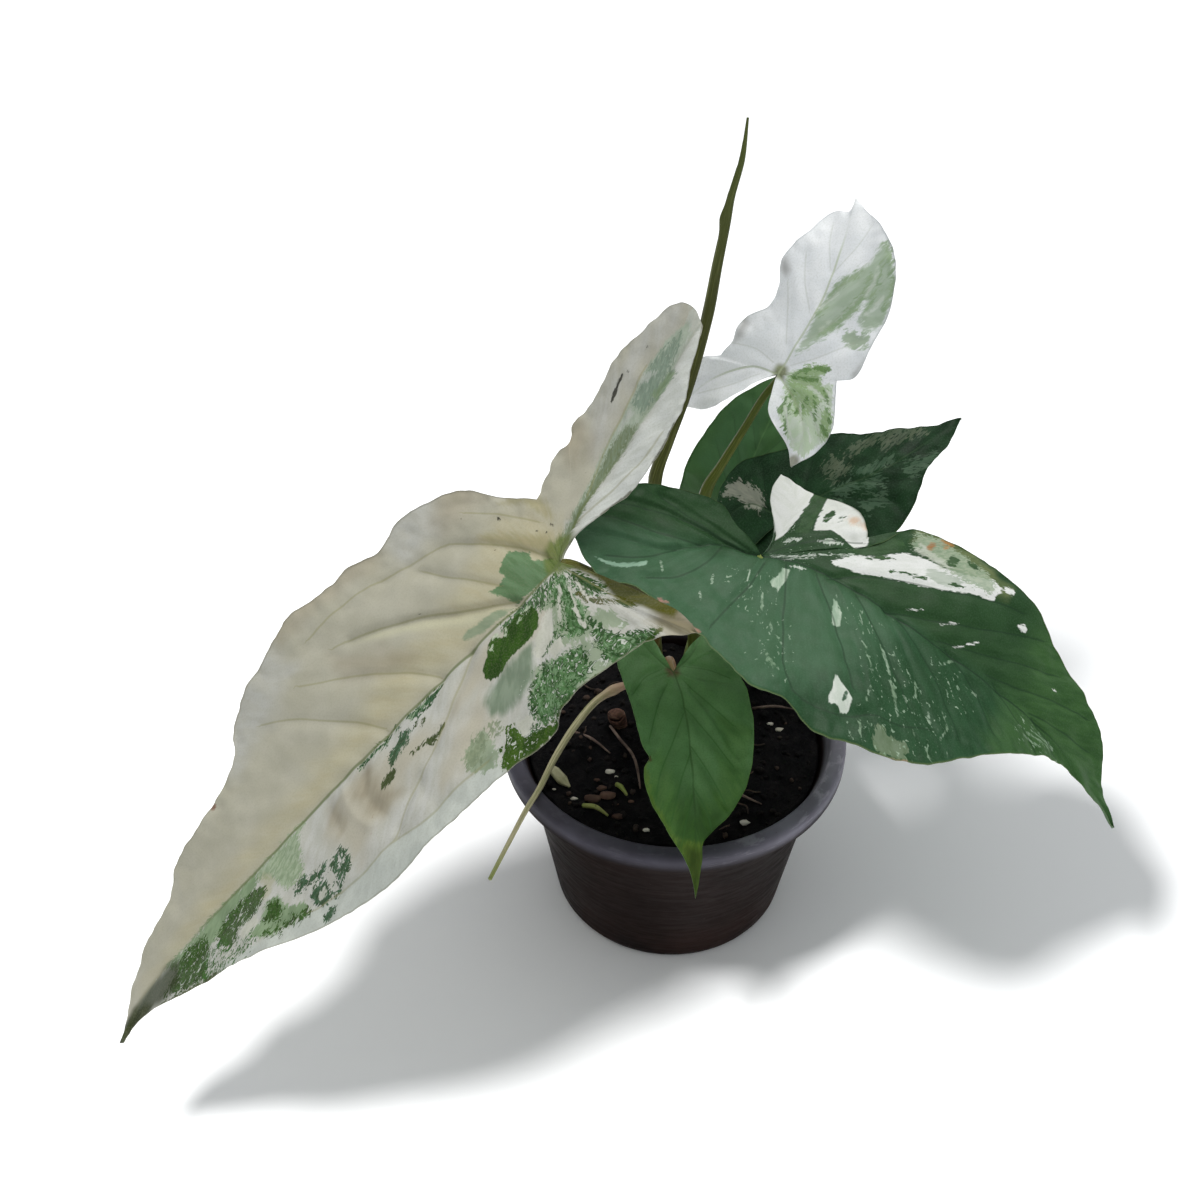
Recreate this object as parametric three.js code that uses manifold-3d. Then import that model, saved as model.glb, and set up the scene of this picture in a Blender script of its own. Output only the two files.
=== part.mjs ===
// Variegated arrowhead plant in a round nursery pot.
// Millimetres, +Z up. The origin is the centre of the pot's underside, and the
// largest leaf points towards -X and -Y.
//
// The pot is filled with soil. A short stem and the feet of the leaf stalks
// stand in plain holes in it. Each leaf is a thin curved blade on a stalk of
// its own.

import * as THREE from "three";
import { mergeVertices } from "three/addons/utils/BufferGeometryUtils.js";
import Module from "manifold-3d";

const wasm = await Module();
wasm.setup();

// ---------------------------------------------------------------- dimensions

const POT_HEIGHT = 80;
const RIM_RADIUS = 62.5; // outer edge of the rolled lip
const LIP_WIDTH = 6;
const LIP_DEPTH = 8; // height of the lip's outer skirt
const FOOT_RADIUS = 44.5;
const POT_FLOOR = 2.2;
const ROUND_SEGMENTS = 44;

const DRAIN_HOLES = 6;
const DRAIN_RADIUS = 4;
const DRAIN_RING_RADIUS = 27;

const SOIL_LEVEL = 72;
const SOIL_GAP = 0.35; // between the soil and the pot's wall
const HOLE_DEPTH = 14; // how deep the stems stand in the soil
const HOLE_GAP = 0.75;

const CROWN_CENTRE = [3, 8];
const CROWN_RADIUS = 4.6;
const CROWN_TOP = 84;
const FOOT_RING_RADIUS = 9.5; // stalk feet stand on this ring round the crown
const STALK_FOOT_RADIUS = 2.2;

const BLADE_THICKNESS = 0.8;
const STALK_GAP = 0.35; // between a stalk's top and its blade

const foot = (degrees, distance = FOOT_RING_RADIUS) => {
  const angle = THREE.MathUtils.degToRad(degrees);
  return [
    CROWN_CENTRE[0] + distance * Math.cos(angle),
    CROWN_CENTRE[1] + distance * Math.sin(angle),
  ];
};

// ----------------------------------------------------------------- materials

const material = (color, roughness) =>
  new THREE.MeshStandardMaterial({ color, roughness, metalness: 0, side: THREE.DoubleSide });

const BLACK_PLASTIC = material("#3a3539", 0.55);
const SOIL = material("#1c1917", 0.95);
const CREAM_LEAF = material("#d9d3bd", 0.5);
const WHITE_LEAF = material("#dfe3e0", 0.5);
const DARK_LEAF = material("#39604a", 0.4);
const MID_LEAF = material("#3c7a3a", 0.4);
const STALK = material("#6b6a2a", 0.5);
const DRY_STALK = material("#b9b288", 0.7);
const WOODY_STEM = material("#7a4d38", 0.8);

// ------------------------------------------------------------------- helpers

// A closed geometry from corner points and triangles. Corners at the same
// place are joined, triangles with no area go, and the faces point out.
function closedGeometry(points, triangles) {
  const loose = new THREE.BufferGeometry();
  loose.setAttribute("position", new THREE.Float32BufferAttribute(points.flat(), 3));
  loose.setIndex(triangles.flat());
  const joined = mergeVertices(loose, 1e-3);
  const index = joined.getIndex().array;
  const kept = [];
  for (let i = 0; i < index.length; i += 3) {
    const [a, b, c] = [index[i], index[i + 1], index[i + 2]];
    if (a !== b && b !== c && c !== a) kept.push(a, b, c);
  }
  joined.setIndex(kept);
  return signedVolume(joined) < 0 ? flipped(joined) : joined;
}

function signedVolume(geometry) {
  const index = geometry.getIndex().array;
  const position = geometry.getAttribute("position");
  const corner = (i) => new THREE.Vector3().fromBufferAttribute(position, index[i]);
  let volume = 0;
  for (let i = 0; i < index.length; i += 3) {
    volume += corner(i).dot(corner(i + 1).cross(corner(i + 2))) / 6;
  }
  return volume;
}

function flipped(geometry) {
  const index = Array.from(geometry.getIndex().array);
  for (let i = 0; i < index.length; i += 3) [index[i], index[i + 1]] = [index[i + 1], index[i]];
  geometry.setIndex(index);
  return geometry;
}

function toManifold(geometry) {
  const bare = geometry.clone();
  bare.deleteAttribute("normal");
  bare.deleteAttribute("uv");
  const joined = mergeVertices(bare, 1e-3);
  return new wasm.Manifold(
    new wasm.Mesh({
      numProp: 3,
      vertProperties: new Float32Array(joined.getAttribute("position").array),
      triVerts: new Uint32Array(joined.getIndex().array),
    }),
  );
}

function fromManifold(solid) {
  const mesh = solid.getMesh();
  const geometry = new THREE.BufferGeometry();
  geometry.setAttribute("position", new THREE.BufferAttribute(mesh.vertProperties, 3));
  geometry.setIndex(Array.from(mesh.triVerts));
  return geometry;
}

// A solid turned about the Z axis from a closed [radius, z] profile.
function turned(profile, segments = ROUND_SEGMENTS) {
  const geometry = new THREE.LatheGeometry(
    profile.map(([radius, z]) => new THREE.Vector2(radius, z)),
    segments,
  );
  geometry.rotateX(Math.PI / 2);
  geometry.deleteAttribute("normal");
  geometry.deleteAttribute("uv");
  const joined = mergeVertices(geometry, 1e-3);
  const position = joined.getAttribute("position").array;
  const points = [];
  for (let i = 0; i < position.length; i += 3) points.push([...position.slice(i, i + 3)]);
  const index = joined.getIndex().array;
  const triangles = [];
  for (let i = 0; i < index.length; i += 3) triangles.push([...index.slice(i, i + 3)]);
  return closedGeometry(points, triangles);
}

function cylinderBetween(bottom, top, radius, segments = 14) {
  const axis = new THREE.Vector3(...top).sub(new THREE.Vector3(...bottom));
  const geometry = new THREE.CylinderGeometry(radius, radius, axis.length(), segments);
  const turn = new THREE.Quaternion().setFromUnitVectors(
    new THREE.Vector3(0, 1, 0),
    axis.clone().normalize(),
  );
  geometry.applyQuaternion(turn);
  const middle = axis.multiplyScalar(0.5).add(new THREE.Vector3(...bottom));
  return geometry.translate(middle.x, middle.y, middle.z);
}

const STEM_SIDES = 7;
const STEPS_PER_SPAN = 3;

// A round stem swept along a smooth route. Each route point is
// [x, y, z, radius], and the ends are closed flat.
function sweptStem(route) {
  const sides = STEM_SIDES;
  const steps = STEPS_PER_SPAN * (route.length - 1);
  const curve = new THREE.CatmullRomCurve3(
    route.map(([x, y, z]) => new THREE.Vector3(x, y, z)),
    false,
    "centripetal",
  );
  const radiusAt = (fraction) => {
    const place = fraction * (route.length - 1);
    const before = Math.min(Math.floor(place), route.length - 2);
    return THREE.MathUtils.lerp(route[before][3], route[before + 1][3], place - before);
  };
  const points = [];
  const triangles = [];
  let across = new THREE.Vector3(1, 0, 0);
  for (let step = 0; step <= steps; step++) {
    const fraction = step / steps;
    const centre = curve.getPoint(fraction);
    const along = curve.getTangent(fraction);
    across = across.clone().addScaledVector(along, -across.dot(along)).normalize();
    const third = new THREE.Vector3().crossVectors(along, across);
    for (let side = 0; side < sides; side++) {
      const angle = (2 * Math.PI * side) / sides;
      const radius = radiusAt(fraction);
      const spoke = across.clone().multiplyScalar(Math.cos(angle) * radius);
      spoke.addScaledVector(third, Math.sin(angle) * radius);
      points.push(spoke.add(centre).toArray());
    }
  }
  for (let step = 0; step < steps; step++) {
    for (let side = 0; side < sides; side++) {
      const next = (side + 1) % sides;
      const [a, b] = [step * sides + side, step * sides + next];
      triangles.push([a, b, b + sides], [a, b + sides, a + sides]);
    }
  }
  const last = steps * sides;
  for (let side = 1; side < sides - 1; side++) {
    triangles.push([0, side + 1, side], [last, last + side, last + side + 1]);
  }
  return closedGeometry(points, triangles);
}

// ---------------------------------------------------------------- leaf blades
//
// A blade is laid out flat first, as [along, across] points: "along" runs from
// the junction with the stalk to the tip of the main lobe, and "across" is
// positive on the left of that line, seen from above. It has a main lobe and
// two basal lobes. Each lobe has a rib down its middle and a margin on both
// sides. The margins of neighbouring lobes meet at a notch, and the inner
// margins of the basal lobes meet at the junction.

const flatCurve = (points) =>
  new THREE.CatmullRomCurve3(
    points.map(([along, across]) => new THREE.Vector3(along, across, 0)),
    false,
    "centripetal",
  );

// The blade's own axes: along it, across it, and out of its upper face.
function bladeAxes({ junction, tip, roll }) {
  const along = new THREE.Vector3(...tip).sub(new THREE.Vector3(...junction));
  const length = along.length();
  along.normalize();
  const up = new THREE.Vector3(0, 0, 1);
  const out = up.clone().addScaledVector(along, -up.dot(along)).normalize();
  const across = new THREE.Vector3().crossVectors(out, along);
  const turn = THREE.MathUtils.degToRad(roll);
  out.applyAxisAngle(along, turn);
  across.applyAxisAngle(along, turn);
  return { along, across, out, length, origin: new THREE.Vector3(...junction) };
}

function distanceToPath(path, x, y) {
  let nearest = Infinity;
  for (let i = 0; i + 1 < path.length; i++) {
    const [ax, ay] = path[i];
    const [dx, dy] = [path[i + 1][0] - ax, path[i + 1][1] - ay];
    const raw = ((x - ax) * dx + (y - ay) * dy) / (dx * dx + dy * dy);
    const t = THREE.MathUtils.clamp(raw, 0, 1);
    nearest = Math.min(nearest, Math.hypot(x - ax - t * dx, y - ay - t * dy));
  }
  return nearest;
}

const ARCH_FADE = 60; // the arch fades out over this length behind the junction
const FOLD_ROUNDING = 1.5; // how far from a rib its fold is rounded

// Height of the blade over its flat layout: a long arch, a fold that rises
// away from the ribs, and a lift of one basal lobe. The distance from the ribs
// is a smooth minimum over the three of them.
function bladeHeight(leaf, length, x, y) {
  const t = THREE.MathUtils.clamp(x / length, 0, 1);
  let height = 4 * leaf.arch * t * (1 - t);
  if (x < 0) height += (4 * leaf.arch * x * Math.exp(x / ARCH_FADE)) / length;
  const ribs = leaf.lobes.map((lobe) => lobe.rib);
  const sum = ribs.reduce((total, rib) => total + (distanceToPath(rib, x, y) + 0.5) ** -3, 0);
  const fromRib = sum ** (-1 / 3);
  height += leaf.fold * (Math.hypot(fromRib, FOLD_ROUNDING) - FOLD_ROUNDING);
  if (leaf.lift) {
    const angle = THREE.MathUtils.degToRad(leaf.lift.towards);
    const reach = x * Math.cos(angle) + y * Math.sin(angle) - leaf.lift.from;
    height += leaf.lift.height * (Math.max(reach, 0) / leaf.lift.over) ** 2;
  }
  return height;
}

// Veins leave the rib in step with the margin, but lean towards the tip: the
// rib's stations crowd towards the junction.
const RIB_LEAN = 1.7;
const WAVE_HEIGHT = 1.1;

// One half of a lobe: rows run from the rib out to the margin.
function halfLobe(leaf, axes, rib, margin, stations, columns, waves) {
  const ribCurve = flatCurve(rib);
  const marginCurve = flatCurve(margin);
  const rows = [];
  for (let station = 0; station <= stations; station++) {
    const fraction = station / stations;
    const inner = ribCurve.getPointAt(fraction ** RIB_LEAN);
    const outer = marginCurve.getPointAt(fraction);
    const row = [];
    for (let column = 0; column <= columns; column++) {
      const flat = inner.clone().lerp(outer, column / columns);
      const wave =
        WAVE_HEIGHT *
        Math.sin(2 * Math.PI * waves * fraction) *
        Math.sin(Math.PI * fraction) *
        (column / columns) ** 2;
      const height = bladeHeight(leaf, axes.length, flat.x, flat.y) + wave;
      row.push([flat.x, flat.y, height]);
    }
    rows.push(row);
  }
  return rows;
}

function blade(leaf) {
  const axes = bladeAxes(leaf);
  const place = ([x, y, height]) =>
    axes.origin
      .clone()
      .addScaledVector(axes.along, x)
      .addScaledVector(axes.across, y)
      .addScaledVector(axes.out, height)
      .toArray();
  const points = [];
  const triangles = [];
  const columns = leaf.columns;
  for (const { rib, left, right, stations, waves } of leaf.lobes) {
    for (const [margin, turn] of [[left, 1], [right, -1]]) {
      const rows = halfLobe(leaf, axes, rib, margin, stations, columns, waves);
      const top = points.length;
      for (const row of rows) points.push(...row.map(place));
      const bottom = points.length;
      for (const row of rows) {
        points.push(...row.map(([x, y, height]) => place([x, y, height - BLADE_THICKNESS])));
      }
      const width = columns + 1;
      const add = (...corners) => triangles.push(turn > 0 ? corners : corners.reverse());
      for (let station = 0; station < stations; station++) {
        for (let column = 0; column < columns; column++) {
          const a = station * width + column;
          const [b, c, d] = [a + width, a + width + 1, a + 1];
          add(top + a, top + b, top + c);
          add(top + a, top + c, top + d);
          add(bottom + a, bottom + c, bottom + b);
          add(bottom + a, bottom + d, bottom + c);
        }
        const edge = station * width + columns;
        add(top + edge, top + edge + width, bottom + edge + width);
        add(top + edge, bottom + edge + width, bottom + edge);
      }
    }
  }
  return closedGeometry(points, triangles);
}

// Where a leaf's stalk ends: just under the junction.
function underJunction(leaf, radius) {
  const { out, origin } = bladeAxes(leaf);
  const drop = BLADE_THICKNESS + STALK_GAP + radius;
  return origin.clone().addScaledVector(out, -drop).toArray();
}

// -------------------------------------------------------------------- leaves

const frontLeft = {
  junction: [-37, -35, 183],
  tip: [-171, -128, 54],
  roll: -14,
  arch: 10,
  fold: 0.1,
  lift: { towards: -165, from: 20, height: 6, over: 70 },
  columns: 3,
  lobes: [
    {
      rib: [[0, 0], [16.5, -1.5], [51, 2], [126, 0.5], [167, -4.5], [208, 0]],
      left: [
        [-1, 39], [15, 37.5], [28.5, 38], [36, 41.5], [51.5, 39], [65, 38], [94.5, 37.5],
        [119, 32.5], [147.5, 20.5], [173.5, 9.5], [196.5, 1], [208, 0],
      ],
      right: [
        [-8.5, -21], [0, -31.5], [7.5, -42], [16, -46], [26, -48], [38, -45.5], [52.5, -49],
        [74.5, -50], [90, -47], [105.5, -42.5], [116.5, -32], [137.5, -24], [154, -22.5],
        [163.5, -16.5], [188, -11], [208, 0],
      ],
      stations: 22, waves: 3,
    },
    {
      rib: [[0, 0], [-12.5, -7.5], [-29, -11.5], [-42, -12], [-62.5, -17], [-82, -19]],
      left: [
        [-8.5, -21], [-17.5, -25.5], [-26, -26.5], [-38, -31], [-52.5, -33], [-69, -32.5],
        [-82.5, -29.5], [-82, -19],
      ],
      right: [
        [0, 0], [-4, -3], [-10.5, -4.5], [-19, -2], [-36, -0.5], [-47.5, -2.5], [-58.5, -5],
        [-70, -12.5], [-82, -19],
      ],
      stations: 13, waves: 2,
    },
    {
      rib: [[0, 0], [-1, 14], [-7, 30.5], [-14, 49]],
      left: [[0, 0], [-1.5, 8], [-4.5, 21], [-9, 32], [-12.5, 42], [-14, 49]],
      right: [[-1, 39], [-9, 44], [-14, 49]],
      stations: 7, waves: 1,
    },
  ],
};

const upperRight = {
  junction: [28, 28, 213],
  tip: [50, 62, 258],
  roll: 4,
  arch: 3,
  fold: 0.14,
  columns: 3,
  lobes: [
    {
      rib: [[0, 0], [9.5, -2], [26.5, -4.5], [45.5, -3], [60.5, 0]],
      left: [
        [-1, 20.5], [4, 18.5], [12, 17.5], [19, 11.5], [25.5, 10.5], [33, 12], [43, 9],
        [54, 5], [56, 0.5], [60.5, 0],
      ],
      right: [
        [4.5, -19.5], [7.5, -25], [19, -26.5], [32.5, -26.5], [43.5, -23.5], [53, -14.5],
        [58.5, -3.5], [60.5, 0],
      ],
      stations: 13, waves: 2,
    },
    {
      rib: [[0, 0], [-0.5, 9], [-9, 21], [-21, 29]],
      left: [[0, 0], [-3, 3.5], [-11, 10.5], [-19, 20], [-21, 29]],
      right: [[-1, 20.5], [-4.5, 26.5], [-10.5, 28.5], [-21, 29]],
      stations: 7, waves: 1,
    },
    {
      rib: [[0, 0], [-5, -7.5], [-13.5, -15], [-25.5, -15.5]],
      left: [[4.5, -19.5], [0.5, -21], [-9.5, -24.5], [-19, -21], [-25.5, -15.5]],
      right: [[0, 0], [-7.5, -1.5], [-13.5, -3.5], [-20.5, -12], [-25.5, -15.5]],
      stations: 7, waves: 1,
    },
  ],
};

const right = {
  junction: [26, -5, 165],
  tip: [149, -42, 84],
  roll: 8,
  arch: 13,
  fold: 0.1,
  columns: 3,
  lobes: [
    {
      rib: [[0, 0], [13, 3.5], [45.5, 3.5], [74.5, 6], [104.5, 6.5], [133, 4.5], [152, 0]],
      left: [
        [28, 23.5], [31.5, 28], [38, 39.5], [52, 44], [65, 46.5], [80.5, 46], [92, 42.5],
        [116.5, 30], [136, 17.5], [143.5, 5], [152, 0],
      ],
      right: [
        [-5, -43.5], [6, -48.5], [13.5, -52.5], [23.5, -51], [37.5, -55], [49, -52.5],
        [61.5, -49], [72, -43], [84, -29.5], [103.5, -11.5], [125, 2], [134.5, 2.5], [152, 0],
      ],
      stations: 19, waves: 3,
    },
    {
      rib: [[0, 0], [-12, -3], [-27.5, -18], [-43, -25], [-58, -33]],
      left: [
        [-5, -43.5], [-20.5, -39], [-30.5, -37], [-39, -42], [-48, -41.5], [-58, -33],
      ],
      right: [
        [0, 0], [-4, 0], [-11.5, 6], [-20, 9.5], [-27, 8], [-40, 1.5], [-47.5, -4.5],
        [-54.5, -16], [-58, -33],
      ],
      stations: 11, waves: 1,
    },
    {
      rib: [[0, 0], [2.5, 13.5], [1, 26], [-7, 37]],
      left: [[0, 0], [1.5, 2.5], [1, 10], [-4.5, 21], [-7.5, 30.5], [-7, 37]],
      right: [[28, 23.5], [23.5, 31.5], [16.5, 35.5], [6.5, 35.5], [-7, 37]],
      stations: 8, waves: 1,
    },
  ],
};

const smallFront = {
  junction: [-1, -15, 121],
  tip: [9.5, -80, 82],
  roll: -6,
  arch: 8,
  fold: 0.16,
  columns: 2,
  lobes: [
    {
      rib: [[0, 0], [10.5, 1.5], [28.5, 1.5], [50.5, 1], [76.5, 0]],
      left: [[8.5, 23.5], [25.5, 22.5], [41, 19], [52, 11.5], [59.5, 3], [65, 2.5], [76.5, 0]],
      right: [
        [10.5, -17], [27, -15], [32, -13], [35, -15], [44, -14.5], [55.5, -9], [67, -2],
        [76.5, 0],
      ],
      stations: 13, waves: 2,
    },
    {
      rib: [[0, 0], [-6, 7], [-15, 13]],
      left: [[0, 0], [-10, 7.5], [-15, 13]],
      right: [[8.5, 23.5], [-6, 20], [-15, 13]],
      stations: 5, waves: 0,
    },
    {
      rib: [[0, 0], [-6.5, -5.5], [-16.5, -11.5]],
      left: [[10.5, -17], [-2.5, -19], [-10.5, -18], [-16.5, -11.5]],
      right: [[0, 0], [-6.5, -2.5], [-14, -6], [-16.5, -11.5]],
      stations: 5, waves: 0,
    },
  ],
};

const backRight = {
  junction: [36, 52, 137],
  tip: [101, 86, 161],
  roll: 12,
  arch: 7,
  fold: -0.14,
  columns: 3,
  lobes: [
    {
      rib: [[0, 0], [16.5, -2], [39.5, -6.5], [68.5, -2.5], [77, 0]],
      left: [[21.5, 23], [33.5, 18.5], [53, 7], [63, 3], [77, 0]],
      right: [
        [1, -33.5], [14, -33], [27, -30], [37.5, -26], [53.5, -14.5], [67.5, -7], [77, 0],
      ],
      stations: 12, waves: 2,
    },
    {
      rib: [[0, 0], [-6, 14], [-15.5, 15], [-22.5, 8.5]],
      left: [[0, 0], [-13.5, 4.5], [-22.5, 8.5]],
      right: [[21.5, 23], [12, 25.5], [0.5, 31], [-9, 29], [-20, 17], [-22.5, 8.5]],
      stations: 8, waves: 1,
    },
    {
      rib: [[0, 0], [-13, -9.5], [-25, -16]],
      left: [[1, -33.5], [-12, -31], [-21, -25.5], [-25, -16]],
      right: [[0, 0], [-9.5, -0.5], [-22, -6], [-25, -16]],
      stations: 6, waves: 0,
    },
  ],
};

const back = {
  junction: [22, 80, 109],
  tip: [41, 114, 163],
  roll: 0,
  arch: 5,
  fold: 0.12,
  columns: 2,
  lobes: [
    {
      rib: [[0, 0], [19.5, 3], [40, 2], [66.5, 0]],
      left: [[7, 28.5], [19.5, 27.5], [29.5, 25.5], [43.5, 20], [55.5, 11.5], [66.5, 0]],
      right: [[10.5, -12], [32, -12.5], [42.5, -13], [58, -9], [66.5, 0]],
      stations: 10, waves: 2,
    },
    {
      rib: [[0, 0], [2.5, 13], [0.5, 22.5]],
      left: [[0, 0], [0.5, 8], [0, 14], [0.5, 22.5]],
      right: [[7, 28.5], [2.5, 26.5], [0.5, 22.5]],
      stations: 5, waves: 0,
    },
    {
      rib: [[0, 0], [2.5, -5], [3.5, -10]],
      left: [[10.5, -12], [6, -12.5], [3.5, -10]],
      right: [[0, 0], [2, -4.5], [3.5, -10]],
      stations: 4, waves: 0,
    },
  ],
};

// --------------------------------------------------------------------- stalks
//
// A route starts in the soil and lists [x, y, z, radius] above it.

const stalkRoute = ([x, y], rest) => [
  [x, y, SOIL_LEVEL - HOLE_DEPTH + 0.5, STALK_FOOT_RADIUS],
  [x, y, SOIL_LEVEL - 3, STALK_FOOT_RADIUS],
  [x, y, SOIL_LEVEL + 3, STALK_FOOT_RADIUS],
  ...rest,
];

const stalkToLeaf = (footAt, middle, leaf, topRadius) =>
  stalkRoute(footAt, [...middle, [...underJunction(leaf, topRadius), topRadius]]);

const FEET = {
  front_left: foot(200),
  upper_right: foot(55),
  right: foot(-40),
  small_front: foot(-100),
  back_right: foot(10),
  back: foot(100),
  new_leaf: foot(150),
  dried: foot(225, 15),
};

const STALKS = {
  front_left: stalkToLeaf(
    FEET.front_left,
    [
      [-9, 5.5, 110, 2.2], [-8.5, -2, 138.5, 2], [-14.5, -8, 148.5, 2], [-20, -14, 157, 1.9],
      [-26, -20, 165, 1.8],
    ],
    frontLeft, 1.6,
  ),
  upper_right: stalkToLeaf(
    FEET.upper_right,
    [
      [5, 19, 120, 2.4], [7, 22, 169.5, 2.1], [11.5, 24, 179, 1.6], [18.5, 26, 193, 1.35],
      [24, 28, 204, 1.3],
    ],
    upperRight, 1.2,
  ),
  right: stalkToLeaf(FEET.right, [[13, 3, 112, 2.1], [20, 1, 148, 1.9]], right, 1.6),
  small_front: stalkToLeaf(
    FEET.small_front,
    [[-0.5, 0, 98, 2], [-2.5, -2, 113, 1.9], [-3, -7, 117, 1.8]],
    smallFront, 1.5,
  ),
  back_right: stalkToLeaf(FEET.back_right, [[20, 26, 104, 2]], backRight, 1.5),
  back: stalkToLeaf(FEET.back, [[7, 42, 92, 2]], back, 1.4),
};

// The new leaf is still rolled into a spike, on a sheathed stalk.
const NEW_LEAF = stalkRoute(FEET.new_leaf, [
  [-10.5, 19, 130, 2.5], [-10, 22, 174.5, 2.4], [-5.5, 25, 188.5, 1.7], [0, 29, 206.5, 1.6],
  [5, 33, 231.5, 1.85], [7, 35, 247, 1.6], [9, 37, 260.5, 1.35], [10, 38, 268.5, 1.2],
  [12.5, 40, 279.5, 1], [13.5, 42, 291.5, 0.4],
]);

// A withered stalk that bends over the pot's lip.
const DRIED_STALK = stalkRoute(FEET.dried, [
  [-11, -1, 90, 2.1], [-15.5, 0, 99, 2], [-26.5, -5.5, 97.5, 1.9], [-35, -15.5, 92.5, 1.8],
  [-41, -25.5, 87, 1.6], [-45.5, -36, 82.2, 1.4], [-49.5, -44.5, 79.8, 1.3],
  [-54, -56.5, 77, 1.1], [-59, -70.5, 74, 0.9],
]);

// The cut end of an old stem.
const STUB_BOTTOM = [-19.5, 13, SOIL_LEVEL - HOLE_DEPTH + 1];
const STUB_TOP = [-21.5, 5.5, 78.5];
const STUB_RADIUS = 3.3;

// ------------------------------------------------------------------ pot, soil

const lipInner = RIM_RADIUS - LIP_WIDTH;
const skirtBottom = POT_HEIGHT - LIP_DEPTH;

// The inside of the wall from the floor up, [radius, z].
const INNER_WALL = [[41.6, POT_FLOOR], [43, 5], [47.3, 32], [51.2, 56], [53.5, 70.5]];

const OUTER_WALL = [
  [FOOT_RADIUS - 3.8, 0], [FOOT_RADIUS - 1.9, 0.9], [FOOT_RADIUS, 4.8], [48.7, 32], [52.6, 56],
  [54.9, 70.5],
];

// The rolled lip, from its hollow underside over the top to the inside.
const LIP = [
  [56.2, 76], [RIM_RADIUS - 1.7, 76], [RIM_RADIUS - 1.5, skirtBottom],
  [RIM_RADIUS - 0.3, skirtBottom], [RIM_RADIUS, skirtBottom + 1.6],
  [RIM_RADIUS, POT_HEIGHT - 2.4], [RIM_RADIUS - 0.9, POT_HEIGHT - 0.7],
  [RIM_RADIUS - 2.5, POT_HEIGHT], [lipInner + 1.7, POT_HEIGHT],
  [lipInner + 0.5, POT_HEIGHT - 0.5], [lipInner - 0.2, POT_HEIGHT - 2],
];

function potGeometry() {
  const shell = toManifold(
    turned([[0, 0], ...OUTER_WALL, ...LIP, ...[...INNER_WALL].reverse(), [0, POT_FLOOR]]),
  );
  let drained = shell;
  for (let hole = 0; hole < DRAIN_HOLES; hole++) {
    const angle = (2 * Math.PI * hole) / DRAIN_HOLES;
    const [x, y] = [DRAIN_RING_RADIUS * Math.cos(angle), DRAIN_RING_RADIUS * Math.sin(angle)];
    const drill = cylinderBetween([x, y, -1], [x, y, POT_FLOOR + 1], DRAIN_RADIUS);
    drained = drained.subtract(toManifold(drill));
  }
  return fromManifold(drained);
}

// Low heaps and hollows of the soil's surface.
const soilHeap = (x, y) =>
  0.9 * Math.sin(x * 0.17 + 1) * Math.cos(y * 0.15) + 0.5 * Math.sin(x * 0.37 - y * 0.31);

function soilGeometry() {
  const wall = INNER_WALL.map(([radius, z]) => [radius - SOIL_GAP, z + SOIL_GAP]);
  const surface = [50, 38, 26, 14, 0].map((radius) => [radius, SOIL_LEVEL]);
  const body = turned([[0, POT_FLOOR + SOIL_GAP], ...wall, ...surface]);
  const position = body.getAttribute("position");
  for (let i = 0; i < position.count; i++) {
    const [x, y, z] = [position.getX(i), position.getY(i), position.getZ(i)];
    if (z > SOIL_LEVEL - 0.1) position.setZ(i, z + soilHeap(x, y));
  }
  let soil = toManifold(body);
  const bottom = SOIL_LEVEL - HOLE_DEPTH;
  const above = SOIL_LEVEL + 5;
  const crownHole = cylinderBetween(
    [...CROWN_CENTRE, bottom], [...CROWN_CENTRE, above], CROWN_RADIUS + HOLE_GAP,
  );
  soil = soil.subtract(toManifold(crownHole));
  for (const [x, y] of Object.values(FEET)) {
    const radius = STALK_FOOT_RADIUS + HOLE_GAP;
    soil = soil.subtract(toManifold(cylinderBetween([x, y, bottom], [x, y, above], radius, 12)));
  }
  const lean = new THREE.Vector3(...STUB_TOP).sub(new THREE.Vector3(...STUB_BOTTOM)).normalize();
  const stubHoleBottom = new THREE.Vector3(...STUB_BOTTOM).addScaledVector(lean, -0.6).toArray();
  const stubHole = cylinderBetween(stubHoleBottom, STUB_TOP, STUB_RADIUS + HOLE_GAP, 16);
  return fromManifold(soil.subtract(toManifold(stubHole)));
}

// A short stem with two leaf scars, rounded off at the top.
function crownGeometry() {
  const r = CROWN_RADIUS;
  const crown = turned(
    [
      [0, SOIL_LEVEL - HOLE_DEPTH + 0.5], [r, SOIL_LEVEL - HOLE_DEPTH + 0.5],
      [r, SOIL_LEVEL + 2], [r - 0.5, SOIL_LEVEL + 3], [r - 0.1, SOIL_LEVEL + 4.5],
      [r - 0.6, CROWN_TOP - 5], [r - 1, CROWN_TOP - 4], [r - 0.8, CROWN_TOP - 3],
      [r - 2, CROWN_TOP - 0.8], [0, CROWN_TOP],
    ],
    14,
  );
  return crown.translate(CROWN_CENTRE[0], CROWN_CENTRE[1], 0);
}

// ------------------------------------------------------------------- assembly

const plant = new THREE.Group();
const add = (name, geometry, finish) => {
  const mesh = new THREE.Mesh(geometry, finish);
  mesh.name = name;
  plant.add(mesh);
};

add("pot", potGeometry(), BLACK_PLASTIC);
add("soil", soilGeometry(), SOIL);
add("crown_stem", crownGeometry(), WOODY_STEM);
add("old_stem_stub", cylinderBetween(STUB_BOTTOM, STUB_TOP, STUB_RADIUS), WOODY_STEM);

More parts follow.
